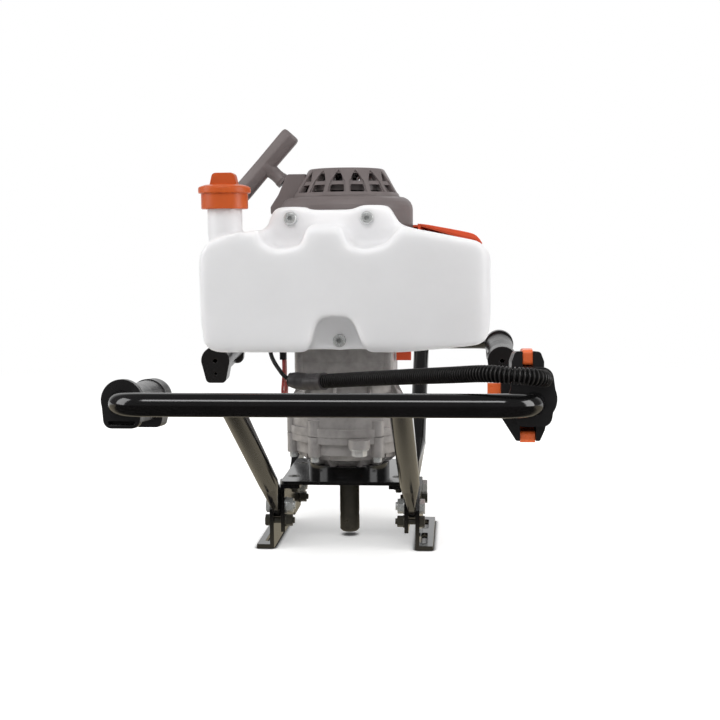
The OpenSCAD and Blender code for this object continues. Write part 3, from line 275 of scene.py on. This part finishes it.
def finish(name, colour, colour_low, roughness, grain_mm, grain_depth, patch_mm=30, rough_drift=0.08,
           metallic=0.0, ior=1.5, edge_mm=0.5, scatter=None):
    """A material with grain, slow drift of colour and gloss, and eased edges.

    scatter, for milky plastics, is a weight, a radius per colour and a depth in mm."""
    made = bpy.data.materials.new(name)
    made.use_nodes = True
    tree = made.node_tree
    tree.nodes.clear()
    spot = add_node(tree, "ShaderNodeTexCoord").outputs["Object"]
    patch = add_node(tree, "ShaderNodeTexNoise", {"Vector": spot, "Scale": 1000 / patch_mm, **PATCH})
    grain = add_node(tree, "ShaderNodeTexNoise", {"Vector": spot, "Scale": 1000 / grain_mm, **GRAIN})
    share = add_node(tree, "ShaderNodeMapRange",
                     {"Value": patch.outputs["Fac"], "From Min": TONE_SPREAD[0], "From Max": TONE_SPREAD[1]})
    tone = add_node(tree, "ShaderNodeMix",
                    {"Factor": share.outputs[0], 6: linear(colour_low), 7: linear(colour)}, data_type="RGBA")
    gloss = add_node(tree, "ShaderNodeMapRange",
                     {"Value": patch.outputs["Fac"], "From Min": GLOSS_SPREAD[0], "From Max": GLOSS_SPREAD[1],
                      "To Min": roughness + rough_drift, "To Max": roughness - rough_drift})
    eased = add_node(tree, "ShaderNodeBevel", {"Radius": edge_mm * MM}, samples=EDGE_SAMPLES)
    relief = add_node(tree, "ShaderNodeBump", {"Height": grain.outputs["Fac"], "Distance": grain_depth * MM,
                                               "Strength": 1.0, "Normal": eased.outputs[0]})
    sockets = {"Base Color": tone.outputs[2], "Roughness": gloss.outputs[0], "Normal": relief.outputs[0],
               "Metallic": metallic, "IOR": ior}
    if scatter:
        weight, radii, depth_mm = scatter
        sockets |= {"Subsurface Weight": weight, "Subsurface Radius": radii,
                    "Subsurface Scale": depth_mm * MM}
    shader = add_node(tree, "ShaderNodeBsdfPrincipled", sockets)
    add_node(tree, "ShaderNodeOutputMaterial", {"Surface": shader.outputs[0]})
    return made


def wear(material, *node_names):
    """Gives the objects of CAD nodes their finish."""
    for node_name in node_names:
        slots = nodes[node_name].data.materials
        slots.clear()
        slots.append(material)


print("base finish ready")

# %% [markdown]
# ## Fuel tank: blow-moulded HDPE
# The tank is high-density polyethylene, blown in a mould. It is milky: light goes a few millimetres
# into the wall and comes out softened, so a plain white paint would look too hard. Subsurface scattering
# gives that. The skin has a slight waxy gloss and a faint orange peel from the mould.

# %% Natural HDPE
hdpe = finish("blow_moulded_HDPE", "#f2f1f2", "#eeedee", 0.36, 2.4, 0.012, patch_mm=60, ior=1.53,
              scatter=(0.55, (1.0, 0.98, 0.95), 9))
print("tank:", hdpe.name)

# %% [markdown]
# ## Soft edges on the tank
# A blown wall can't follow a sharp corner: it bridges it, so every edge of the tank, and above all the
# rims of its pockets, is a slow curve. Fillets of that size on pockets this free in outline are hard to
# cut in CAD, so a copy of the solid gets even faces from a voxel remesh, and each point is then drawn
# towards its neighbours, many times. Screw seats, the neck and the back, which meet other pieces,
# hold still.

# %% Even faces
SKIN_STEP = 1.8 * MM
skin = bpy.data.objects.new("tank_skin", nodes["fuel_tank"].data.copy())
scene.collection.objects.link(skin)
remesh = skin.modifiers.new("even_faces", "REMESH")
remesh.mode, remesh.voxel_size, remesh.use_smooth_shade = "VOXEL", SKIN_STEP, True
even = bpy.data.meshes.new_from_object(skin.evaluated_get(bpy.context.evaluated_depsgraph_get()))
skin.modifiers.clear()
skin.data = even
points = np.empty(len(even.vertices) * 3)
even.vertices.foreach_get("co", points)
points = points.reshape(-1, 3)
ends = np.empty(len(even.edges) * 2, int)
even.edges.foreach_get("vertices", ends)
start, end = ends.reshape(-1, 2).T
print("tank skin faces:", len(even.polygons))

# %% What holds still
SCREW_SEATS = [(-44, 321), (27, 321), (1, 208)]
SEAT_HOLD, SEAT_EASE = 8.5, 5
NECK_SIDE, NECK_FOOT, NECK_EASE = -82, 306, 5
TANK_BACK, BACK_HOLD, BACK_EASE = -68, 2, 8
x, y, z = points.T / MM
free = np.clip((TANK_BACK - BACK_HOLD - y) / BACK_EASE, 0, 1)
for seat_x, seat_z in SCREW_SEATS:
    free *= np.clip((np.hypot(x - seat_x, z - seat_z) - SEAT_HOLD) / SEAT_EASE, 0, 1)
free *= np.where(x < NECK_SIDE, np.clip((NECK_FOOT - z) / NECK_EASE, 0, 1), 1)
print("points free to move:", int((free > 0).sum()), "of", len(points))

# %% Soften
SKIN_PASSES, DRAW = 28, 0.5
count = len(points)
links = np.bincount(ends, minlength=count)
for _ in range(SKIN_PASSES):
    drawn = np.stack([np.bincount(start, points[end, axis], count)
                      + np.bincount(end, points[start, axis], count) for axis in range(3)], axis=1)
    points += DRAW * free[:, None] * (drawn / links[:, None] - points)
even.vertices.foreach_set("co", points.ravel())
even.update()
even.materials.clear()
even.materials.append(hdpe)
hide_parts("fuel_tank")
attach(skin, "chassis")
print("softening passes:", SKIN_PASSES)

# %% [markdown]
# ## Coloured mouldings
# The starter cover and pull are glass-filled nylon in taupe, with a spark-eroded grain that dulls them.
# The cap is polypropylene, softer and a little waxy. The shroud is ABS, which takes a brighter gloss, and
# the trigger, lock and switch are acetal, which slides well and has the strongest colour. A texture
# picture could give the grain, but noise needs no file. Grain this fine is under a pixel, so it is
# drawn about twice as coarse as it is.

# %% Nylon, polypropylene, ABS and acetal
# Dull and even: the fibres and the eroded grain scatter the light.
taupe_nylon = finish("glass_filled_nylon_taupe", "#766d6c", "#6e6564", 0.46, 0.9, 0.05)
# Waxy: a little light goes into it, red furthest.
cap_plastic = finish("polypropylene_orange", "#cb5a21", "#c0531d", 0.36, 1.4, 0.03,
                     scatter=(0.12, (1.0, 0.4, 0.15), 2))
# Brighter gloss, flat colour.
orange_abs = finish("ABS_orange", "#e4562c", "#de522a", 0.33, 1.6, 0.02)
# Slippery shine and the strongest colour.
acetal = finish("acetal_orange", "#f0703a", "#ea6a35", 0.30, 1.4, 0.02, patch_mm=12)
wear(taupe_nylon, "recoil_cover")
wear(cap_plastic, "fuel_cap")
wear(orange_abs, "shroud")
wear(acetal, "throttle_trigger", "throttle_lock", "stop_switch")
print("mouldings:", taupe_nylon.name, cap_plastic.name, orange_abs.name, acetal.name)

# %% [markdown]
# ## Castings
# The gearbox and crankcase are die-cast aluminium, tumbled but not machined outside. The skin is a grey
# metal with patches of tone about a centimetre wide and a fine pitted grain. The broad noise gives the
# patches and the fine one the pits. Cast skin is oxidised and rough, and a full metal would mirror
# only the dark room, so it is metallic in part.

# %% Die-cast aluminium
cast_alloy = finish("die_cast_aluminium", "#b0acaa", "#9a9694", 0.40, 1.3, 0.08, patch_mm=10,
                    rough_drift=0.12, metallic=0.4, edge_mm=0.9)
wear(cast_alloy, "gearbox_cover", "gearbox_housing", "crankcase_lower", "crankcase_upper", "fan_housing",
     "engine_cylinder", "carburettor", "flywheel", "clutch_shoes")
print("castings:", cast_alloy.name)

# %% [markdown]
# ## Black enamel
# Frame, legs, plate and feet are steel tube and sheet under a stoved gloss enamel. It is nearly black,
# so what the eye sees is the room in it: a white line from the softbox, and the floor in every face
# that looks down. A coat over a base would do, but one dielectric is enough. Enamel has an IOR of about
# 1.5, raised here until the reflections are as strong as in the photograph, and a faint ripple
# keeps them from looking like glass.

# %% Stoved enamel on steel
enamel = finish("stoved_black_enamel", "#121112", "#0d0d0d", 0.12, 5.0, 0.003, patch_mm=45,
                rough_drift=0.04, ior=1.75, edge_mm=0.3)
wear(enamel, "near_frame", "far_frame", "base_plate", "hanger_left", "hanger_right", "foot_left",
     "foot_right")
print("enamel:", enamel.name)

# %% [markdown]
# ## Metals and small parts
# Hinge bolts, screws and the choke lever are zinc-plated: bright and a little uneven. The oil plug and
# the turned parts inside are bare bright steel. The output shaft and the hanger and stop bolts are
# blackened with oxide, an oily skin that hides the metal. The muffler is sheet steel stained by
# heat, and the spark plug shows its porcelain. All keep the default IOR. Plated and bright steel are
# metallic in part, as the castings are, so that they stay pale in a room that is mostly dark.

# %% Zinc, bright steel, black oxide, stained sheet and porcelain
zinc = finish("zinc_plated_steel", "#d2d4d3", "#bfc1c0", 0.27, 0.8, 0.02, patch_mm=4, metallic=0.45)
bright_steel = finish("turned_bright_steel", "#d6d5d2", "#c4c2bf", 0.22, 0.7, 0.02, patch_mm=6,
                      metallic=0.35)
oxide = finish("black_oxide_steel", "#3d3a32", "#33312a", 0.34, 0.9, 0.02, patch_mm=8)
warm_sheet = finish("heat_stained_sheet_steel", "#8a8178", "#6d655d", 0.42, 1.2, 0.04, patch_mm=12,
                    metallic=0.9)
porcelain = finish("glazed_porcelain", "#efece4", "#e8e4da", 0.16, 3.0, 0.01)
wear(zinc, "hinge_bolts", "gearbox_screws", "recoil_screws", "tank_screws", "choke_lever")
wear(bright_steel, "oil_plug", "lower_bearing", "upper_bearing", "crankshaft", "counter_gear",
     "clutch_drum")
wear(oxide, "output_shaft", "hanger_bolts", "stop_bolts")
wear(warm_sheet, "muffler")
wear(porcelain, "spark_plug")
print("metals:", zinc.name, bright_steel.name, oxide.name, warm_sheet.name, porcelain.name)

# %% [markdown]
# ## Black polymers
# The grips are soft PVC over the tube ends, the throttle body and small housings are nylon, and the
# seal and boot are rubber. All are black, so one black would flatten them, and gloss tells them apart:
# soft PVC has a hazy shine that whitens at a shallow angle, nylon is duller and grained, and rubber
# the dullest.

# %% PVC, nylon and rubber
grip_pvc = finish("soft_PVC_black", "#1f1e1f", "#191819", 0.32, 1.0, 0.03, patch_mm=25, edge_mm=1.2)
black_nylon = finish("moulded_nylon_black", "#222122", "#1b1a1b", 0.36, 0.9, 0.05, patch_mm=20)
rubber = finish("nitrile_rubber_black", "#1b1a19", "#151413", 0.6, 1.2, 0.05, patch_mm=12)
wear(grip_pvc, "near_left_grip", "far_left_grip", "far_right_grip")
wear(black_nylon, "throttle_grip", "filter_case", "filter_cover", "starter_reel", "ignition_coil",
     "wire_connector")
wear(rubber, "output_seal", "plug_boot")
print("polymers:", grip_pvc.name, black_nylon.name, rubber.name)

# %% [markdown]
# ## Cords: one smooth line each
# A hose or wire follows a few points, which are the CAD's own route. A Bezier curve with a bevel
# would do for a plain wire, but the conduit needs ribs that stay square to the line, so all of them
# are swept by one function. It walks a spline through the points at even steps and carries
# a side vector along without twist, then puts a ring of vertices at each step.

# %% Even steps along a route
FINE_STEPS = 24  # per span between two points of the route


def spline_point(points, u):
    """A point of the smooth line through points, where u counts points."""
    i = min(int(u), len(points) - 2)
    t = u - i
    before = points[i - 1] if i > 0 else 2 * points[0] - points[1]
    after = points[i + 2] if i + 2 < len(points) else 2 * points[-1] - points[-2]
    a, b = points[i], points[i + 1]
    return 0.5 * (2 * a + (b - before) * t + (2 * before - 5 * a + 4 * b - after) * t * t
                  + (3 * a - before - 3 * b + after) * t ** 3)


def even_line(route_mm, steps):
    """The route's smooth line as steps + 1 evenly spaced points, and its length, in metres."""
    points = [Vector(p) * MM for p in route_mm]
    fine = [spline_point(points, k / FINE_STEPS) for k in range(FINE_STEPS * (len(points) - 1) + 1)]
    run = [0.0]
    for a, b in zip(fine, fine[1:]):
        run.append(run[-1] + (b - a).length)
    line, j = [], 0
    for k in range(steps + 1):
        want = run[-1] * k / steps
        while j < len(run) - 2 and run[j + 1] < want:
            j += 1
        share = (want - run[j]) / max(run[j + 1] - run[j], 1e-9)
        line.append(fine[j].lerp(fine[j + 1], min(max(share, 0), 1)))
    return line, run[-1]


print("steps per span:", FINE_STEPS)

# %% Loft rings, and sweep a tube
FIRST_SIDE = (0.1, 0.2, 1)  # not along the start of any route


def circle(sides):
    """Angles of evenly spaced points round a circle."""
    return [2 * math.pi * s / sides for s in range(sides)]


def loft(name, skins, crisp=False):
    """An object of closed skins, each given as rings of points. Crisp keeps each ring as an edge."""
    bm = bmesh.new()
    for rings in skins:
        rings = [[bm.verts.new(point) for point in ring] for ring in rings]
        sides = len(rings[0])
        for low, high in zip(rings, rings[1:]):
            for s in range(sides):
                after = (s + 1) % sides
                bm.faces.new((low[s], low[after], high[after], high[s])).smooth = True
                bm.edges.get((low[s], low[after])).smooth = not crisp
        bm.faces.new(rings[0][::-1])
        bm.faces.new(rings[-1])
    bmesh.ops.recalc_face_normals(bm, faces=bm.faces)
    made = bpy.data.objects.new(name, bpy.data.meshes.new(name))
    bm.to_mesh(made.data)
    bm.free()
    scene.collection.objects.link(made)
    return made


def sweep(name, line, radius_at, sides=16, crisp=False):
    """A closed tube along a line of points; radius_at(k) is the radius at point k, in metres."""
    side = Vector(FIRST_SIDE)
    rings = []
    for k, centre in enumerate(line):
        ahead = (line[min(k + 1, len(line) - 1)] - line[max(k - 1, 0)]).normalized()
        side = (side - ahead * side.dot(ahead)).normalized()
        other = ahead.cross(side)
        rings.append([centre + radius_at(k) * (side * math.cos(a) + other * math.sin(a))
                      for a in circle(sides)])
    return loft(name, [rings], crisp)


print("sweep ready")

# %% [markdown]
# ## Ribbed conduit
# The throttle cable and stop wire run from the grip to the engine in a corrugated polyethylene conduit,
# 13.6 mm over its ribs. Ribs could be bump in a material, but the outline shows them, so they are
# modelled: six rings make each rib, three at the root, a shoulder on each side, and a crest between
# the shoulders. Handling rubs the crests to a shine and leaves the grooves dull, so each has its own
# finish, and the grooves' finish is also painted near black: painted shade where little light gets in.
# The conduit hangs between a grip that folds with its wing and the engine that doesn't.

# %% Corrugated conduit
CONDUIT = [(176, -253, 193), (176, -266, 193), (168, -280, 196), (150, -284, 198), (130, -273, 198),
           (104, -240, 193), (60, -180, 184), (4, -112, 173), (-26, -86, 168), (-38, -79, 168),
           (-50, -76, 169)]
RIBS, RINGS, SIDES = 110, 6, 24
CREST, SHOULDER, ROOT = 6.8 * MM, 6.5 * MM, 4.8 * MM
RIB = [ROOT, ROOT, ROOT, SHOULDER, CREST, SHOULDER]
GROOVE = (0, 1, 2, 5)  # the bands of a rib that lie in its groove
conduit_line, conduit_length = even_line(CONDUIT, RIBS * RINGS)
conduit = sweep("conduit_ribbed", conduit_line, lambda k: RIB[k % RINGS], sides=SIDES, crisp=True)
crest_pe = finish("rubbed_polyethylene_crest", "#2b2928", "#242222", 0.30, 1.5, 0.02, patch_mm=20)
# Painted shade: the groove finish is near black, far darker than the crests.
groove_shade_pe = finish("corrugated_polyethylene_painted_groove_shade", "#0b0a0a", "#070606", 0.55, 1.5, 0.02, patch_mm=20)
conduit.data.materials.append(crest_pe)
conduit.data.materials.append(groove_shade_pe)
for face in conduit.data.polygons:
    face.material_index = int(face.index // SIDES % RINGS in GROOVE)
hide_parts("conduit")
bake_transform(conduit)
print("conduit length mm:", round(conduit_length / MM))

# %% [markdown]
# ## Tape at the engine end
# The last few centimetres are bound with PVC tape, which closes the conduit around the wires. A spiral
# strip would be truer, but at this size only the laps show, so a sleeve with a stepped radius gives
# them: each turn of tape lies half over the one before.

# %% PVC tape sleeve
TAPE_LAPS, LAP_STEPS, TAPE_EVERY = 5, 8, 2
TAPE_BUILD, TAPE_LAP = 1.2 * MM, 0.22 * MM
PINCH_RINGS, PINCH = 10, 2.2 * MM
tape_line = conduit_line[-(TAPE_LAPS * LAP_STEPS + 1) * TAPE_EVERY::TAPE_EVERY]
pinch_start = len(tape_line) - PINCH_RINGS


def tape_radius(k):
    """The sleeve's radius at ring k: laps, then a pinch where the wires come out."""
    lap = TAPE_LAP * (1 - (k % LAP_STEPS) / LAP_STEPS)
    pinch = max(0, k - pinch_start) / PINCH_RINGS
    return CREST + TAPE_BUILD + lap - PINCH * pinch * pinch


tape = sweep("conduit_tape", tape_line, tape_radius, sides=SIDES)
tape_pvc = finish("PVC_tape_black", "#403d3e", "#363334", 0.38, 1.8, 0.05, patch_mm=8)
tape.data.materials.append(tape_pvc)
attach(tape, "chassis")
print("tape rings:", len(tape_line))

# %% [markdown]
# ## Wires, hose and plug lead
# The rest are plain round cords held at both ends, so a smooth sweep is enough. What sets them apart is
# their jacket: PVC wire has a soft shine, the fuel hose is brown nitrile rubber, and the plug lead is a
# thick silicone jacket.

# %% Plain cords
CORD_STEPS = 60
CORDS = [
    # piece, CAD node that it stands for, radius mm, jacket colours, roughness, slot, route
    ("cable_jacket", "throttle_cable", 2.0, ("#1d1c1d", "#161516"), 0.35, "black_plastic",
     [(-51.2, -76, 170), (-58, -73, 176), (-69, -62, 192), (-74, -30, 212), (-71, 16, 230), (-69, 46, 242),
      (-69, 58, 243)]),
    ("stop_wire_jacket", "stop_wire", 1.3, ("#a8433c", "#8f3a36"), 0.38, "red_wire",
     [(-52.2, -77.5, 167), (-54, -73, 158), (-57, -65, 151), (-59, -58, 156), (-58, -56, 172),
      (-58, -56, 186)]),
    ("earth_wire_jacket", None, 1.2, ("#c58a84", "#b57b76"), 0.38, "red_wire",
     [(-51.8, -75.2, 166.4), (-52.6, -71, 157), (-54.6, -63, 151), (-56.6, -56, 156), (-56.1, -54.1, 172),
      (-56.1, -54.1, 186)]),
    ("coil_wire_jacket", "coil_wire", 1.3, ("#1d1c1d", "#161516"), 0.38, "black_plastic",
     [(-58, -56, 197.5), (-61, -53, 208), (-70, -34, 236), (-74, -24, 256), (-68, -24, 262),
      (-60.2, -24, 262)]),
    ("fuel_hose_tube", "fuel_hose", 3.0, ("#6b4a30", "#5c3f28"), 0.45, "fuel_rubber",
     [(-90, -68, 214), (-90, -56, 214), (-92, -20, 218), (-88, 20, 226), (-78, 46, 230), (-78, 55.5, 230)]),
    ("plug_lead_jacket", "plug_lead", 3.5, ("#1f1e1e", "#181717"), 0.42, "black_rubber",
     [(-22, 128, 243), (-36, 128, 245), (-54, 116, 262), (-57, 86, 282), (-58, 46, 280), (-55, 10, 264),
      (-55, -4, 262)]),
]
for piece, node, radius, jacket, rough, slot_name, route in CORDS:
    line, length = even_line(route, CORD_STEPS)
    cord = sweep(piece, line, lambda k, r=radius: r * MM)
    cord.data.materials.append(finish(piece + "_skin", *jacket, rough, 1.2, 0.02, patch_mm=10))
    if node:
        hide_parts(node)
    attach(cord, "chassis")
    print(piece, "length mm:", round(length / MM))

# %% [markdown]
# ## Starter rope
# The rope goes from the reel, through the guide in the cover's ear and into the pull. When the pull is
# drawn, the rope comes out with it. A simulated cord would be slow for a straight pull, so the piece is
# a straight tube from the guide into the pull, with many rings evenly along it.

# %% Braided rope
PULL = Vector((-0.745, 0, 0.667))
EAR = Vector((-0.063, 0, 0.359))
ROPE_IN, ROPE_OUT = 17, 27.4  # mm from the ear, back to the guide and out into the pull
ROPE_STEPS, ROPE_RADIUS = 60, 1.75 * MM
guide = EAR - ROPE_IN * MM * PULL
rope_line = [guide.lerp(EAR + ROPE_OUT * MM * PULL, k / ROPE_STEPS) for k in range(ROPE_STEPS + 1)]
rope = sweep("starter_rope_braid", rope_line, lambda k: ROPE_RADIUS, sides=12)
braid = finish("braided_polyester_rope", "#2a2826", "#1d1c1a", 0.7, 0.8, 0.15, patch_mm=3)
rope.data.materials.append(braid)
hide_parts("starter_rope")
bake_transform(rope)
print("rope shown mm:", round((rope_line[-1] - rope_line[0]).length / MM))

# %% [markdown]
# ## Starter pull
# The pull is a T: a bar with a ridge along each side, so that its slopes catch the light differently,
# and a stout round stem that runs into the bar as a saddle. A bevelled box would lose the ridge, so
# the bar is lofted from one section, a little smaller at its ends, and the stem is lofted from circles.

# %% Sections of the bar and the stem, in mm
ALONG = Vector((0.667, 0, 0.745))
ACROSS = Vector((0, 1, 0))
BAR_HALF, BAR_MIDDLE = 41, 24.9
SECTION = [(9.4, -0.5), (9.4, 0.5), (7.3, 6.8), (5.2, 8.8), (2.4, 9.4), (-2.4, 9.4), (-5.2, 8.8),
           (-7.3, 6.8), (-9.4, 0.5), (-9.4, -0.5), (-7.3, -6.8), (-5.2, -8.8), (-2.4, -9.4), (2.4, -9.4),
           (5.2, -8.8), (7.3, -6.8)]
BAR_ROWS = [(1.0, 0.66), (0.99, 0.82), (0.965, 0.93), (0.92, 0.985), (0.86, 1.0)]  # place, size
BAR_WAIST = (0, 0.97)
STEM = [(2.7, 7.4), (3.6, 7.5), (6, 6.8), (10, 6.6), (14, 6.9), (17, 7.7), (20, 8.7), (23, 9.3), (25, 9.2),
        (27, 8.2), (28, 6.0)]  # distance from the ear, radius
STEM_SIDES = 28
bar_rows = [(-x, scale) for x, scale in BAR_ROWS] + [BAR_WAIST] + BAR_ROWS[::-1]
bar = [[EAR + MM * (ALONG * x * BAR_HALF + ACROSS * y * scale + PULL * (BAR_MIDDLE + z * scale))
        for y, z in SECTION] for x, scale in bar_rows]
stem = [[EAR + MM * (PULL * z + r * (ALONG * math.cos(a) + ACROSS * math.sin(a)))
         for a in circle(STEM_SIDES)] for z, r in STEM]
print("bar rings:", len(bar), "stem rings:", len(stem))

# %% Ridged bar and stem
RIDGE, RIDGE_SLACK = 9.3 * MM, 0.35 * MM
pull = loft("starter_pull", [bar, stem])
bar_points = len(bar) * len(SECTION)
for edge in pull.data.edges:
    sides = [abs(pull.data.vertices[v].co.y) for v in edge.vertices]
    on_ridge = all(abs(side - RIDGE) < RIDGE_SLACK for side in sides)
    edge.use_edge_sharp = on_ridge and edge.vertices[0] < bar_points
pull.data.materials.append(taupe_nylon)
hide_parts("starter_handle")
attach(pull, "starter_handle")
print("pull faces:", len(pull.data.polygons))

# %% [markdown]
# ## Brow on the shroud
# The front edge of the orange shroud swells into a brow that keeps its height while the top behind it
# slopes away. A bent strip would stop dead at its back, so the brow is lofted from rings across the
# shroud, and each ring's top sinks towards the shroud's own surface as the rings go back.

# %% Brow over the shroud's front edge
BROW = [  # across the shroud: x, height of the brow, height of the shroud under it
    (74, 315.8, 315.5), (82, 314.8, 313.3), (93.4, 312.6, 310.3), (103, 310.8, 307.7),
    (112.6, 308.9, 305.1), (120, 307.3, 303.2), (125, 305.9, 301.8), (128.5, 303.9, 300.6),
    (131.5, 300.5, 298.6), (133.8, 297.0, 296.3)]
BROW_ROWS = [(-38.5, 0.84), (-37.6, 1.0), (-20, 1.0), (-6, 0.85), (5, 0.4), (14, 0.03)]  # y, share of height
BROW_SUNK = 0.8
brow_rings = [[MM * Vector((x, y, base + share * (crown - base))) for x, crown, base in BROW]
              + [MM * Vector((x, y, base - BROW_SUNK)) for x, crown, base in BROW[::-1]]
              for y, share in BROW_ROWS]
brow = loft("shroud_brow", [brow_rings])
brow.data.materials.append(orange_abs)
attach(brow, "chassis")
print("brow faces:", len(brow.data.polygons))

# %% [markdown]
# ## Arched ribs on the starter dome
# The dome's vents sit in pointed arches: narrow ribs rise from its foot, spread, and join at the top, and
# the wall with the vents lies a little way behind them. The ribs could be boxes bent to the cone, but
# the arches' edges are curves, so each sector is a sheet with two columns of faces, left and right of its
# arch, whose inner edge follows the arch from row to row. The sheet is then given its thickness.

# %% Rows of the rib cage
VENTS, RIB_PROUD, RIB_THICK = 15, 1.3, 1.9
CONE_FOOT, CONE_HEAD = (50, 346), (36, 370)  # radius, height
ARCH = [(346.5, 0), (347, 10.0), (350, 9.9), (354, 9.7), (357, 9.3), (358.6, 8.4), (360.2, 7.1),
        (362.4, 5.6), (364.6, 4.0), (366.6, 2.1), (368.3, 0)]  # height, half opening in degrees
FOOT_ROWS = [(53.2, 342.6), (52.6, 344.0), (52.1, 345.3)]
HEAD_ROWS = [(37.6, 369.6), (36.2, 370.4), (34.0, 370.6), (32.4, 370.5), (31.6, 369.8)]
slope = (CONE_HEAD[0] - CONE_FOOT[0]) / (CONE_HEAD[1] - CONE_FOOT[1])
foot_radius = CONE_FOOT[0] + RIB_PROUD * math.hypot(1, slope)
rows = [(radius, height, 0) for radius, height in FOOT_ROWS]
rows += [(foot_radius + slope * (height - CONE_FOOT[1]), height, half) for height, half in ARCH]
rows += [(radius, height, 0) for radius, height in HEAD_ROWS]
print("rows:", len(rows))

# %% Rib cage
HALF_SECTOR = 180 / VENTS
EAR_SIDE, EAR_HALF = 180, 30  # degrees; no arches near the ear
COLUMNS, MERGE = 6, 0.02 * MM
bm = bmesh.new()
for sector in range(VENTS):
    middle = EAR_SIDE + (2 * sector + 1) * HALF_SECTOR
    solid = min(abs(middle - EAR_SIDE), abs(middle - EAR_SIDE - 360)) < EAR_HALF
    for hand in (-1, 1):
        grid = []
        for radius, height, half in rows:
            half = 0 if solid else half
            turns = [math.radians(middle + hand * (half + (HALF_SECTOR - half) * c / COLUMNS))
                     for c in range(COLUMNS + 1)]
            grid.append([bm.verts.new((radius * MM * math.cos(a), radius * MM * math.sin(a), height * MM))
                         for a in turns])
        for low, high in zip(grid, grid[1:]):
            for c in range(COLUMNS):
                corners = (low[c], low[c + 1], high[c + 1], high[c])
                bm.faces.new(corners if hand > 0 else corners[::-1]).smooth = True
bmesh.ops.remove_doubles(bm, verts=bm.verts, dist=MERGE)
cage = bpy.data.objects.new("dome_ribs", bpy.data.meshes.new("dome_ribs"))
bm.to_mesh(cage.data)
bm.free()
scene.collection.objects.link(cage)
thick = cage.modifiers.new("rib_thickness", "SOLIDIFY")
thick.thickness, thick.offset = RIB_THICK * MM, -1
cage.data.materials.append(taupe_nylon)
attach(cage, "chassis")
print("rib cage faces:", len(cage.data.polygons))
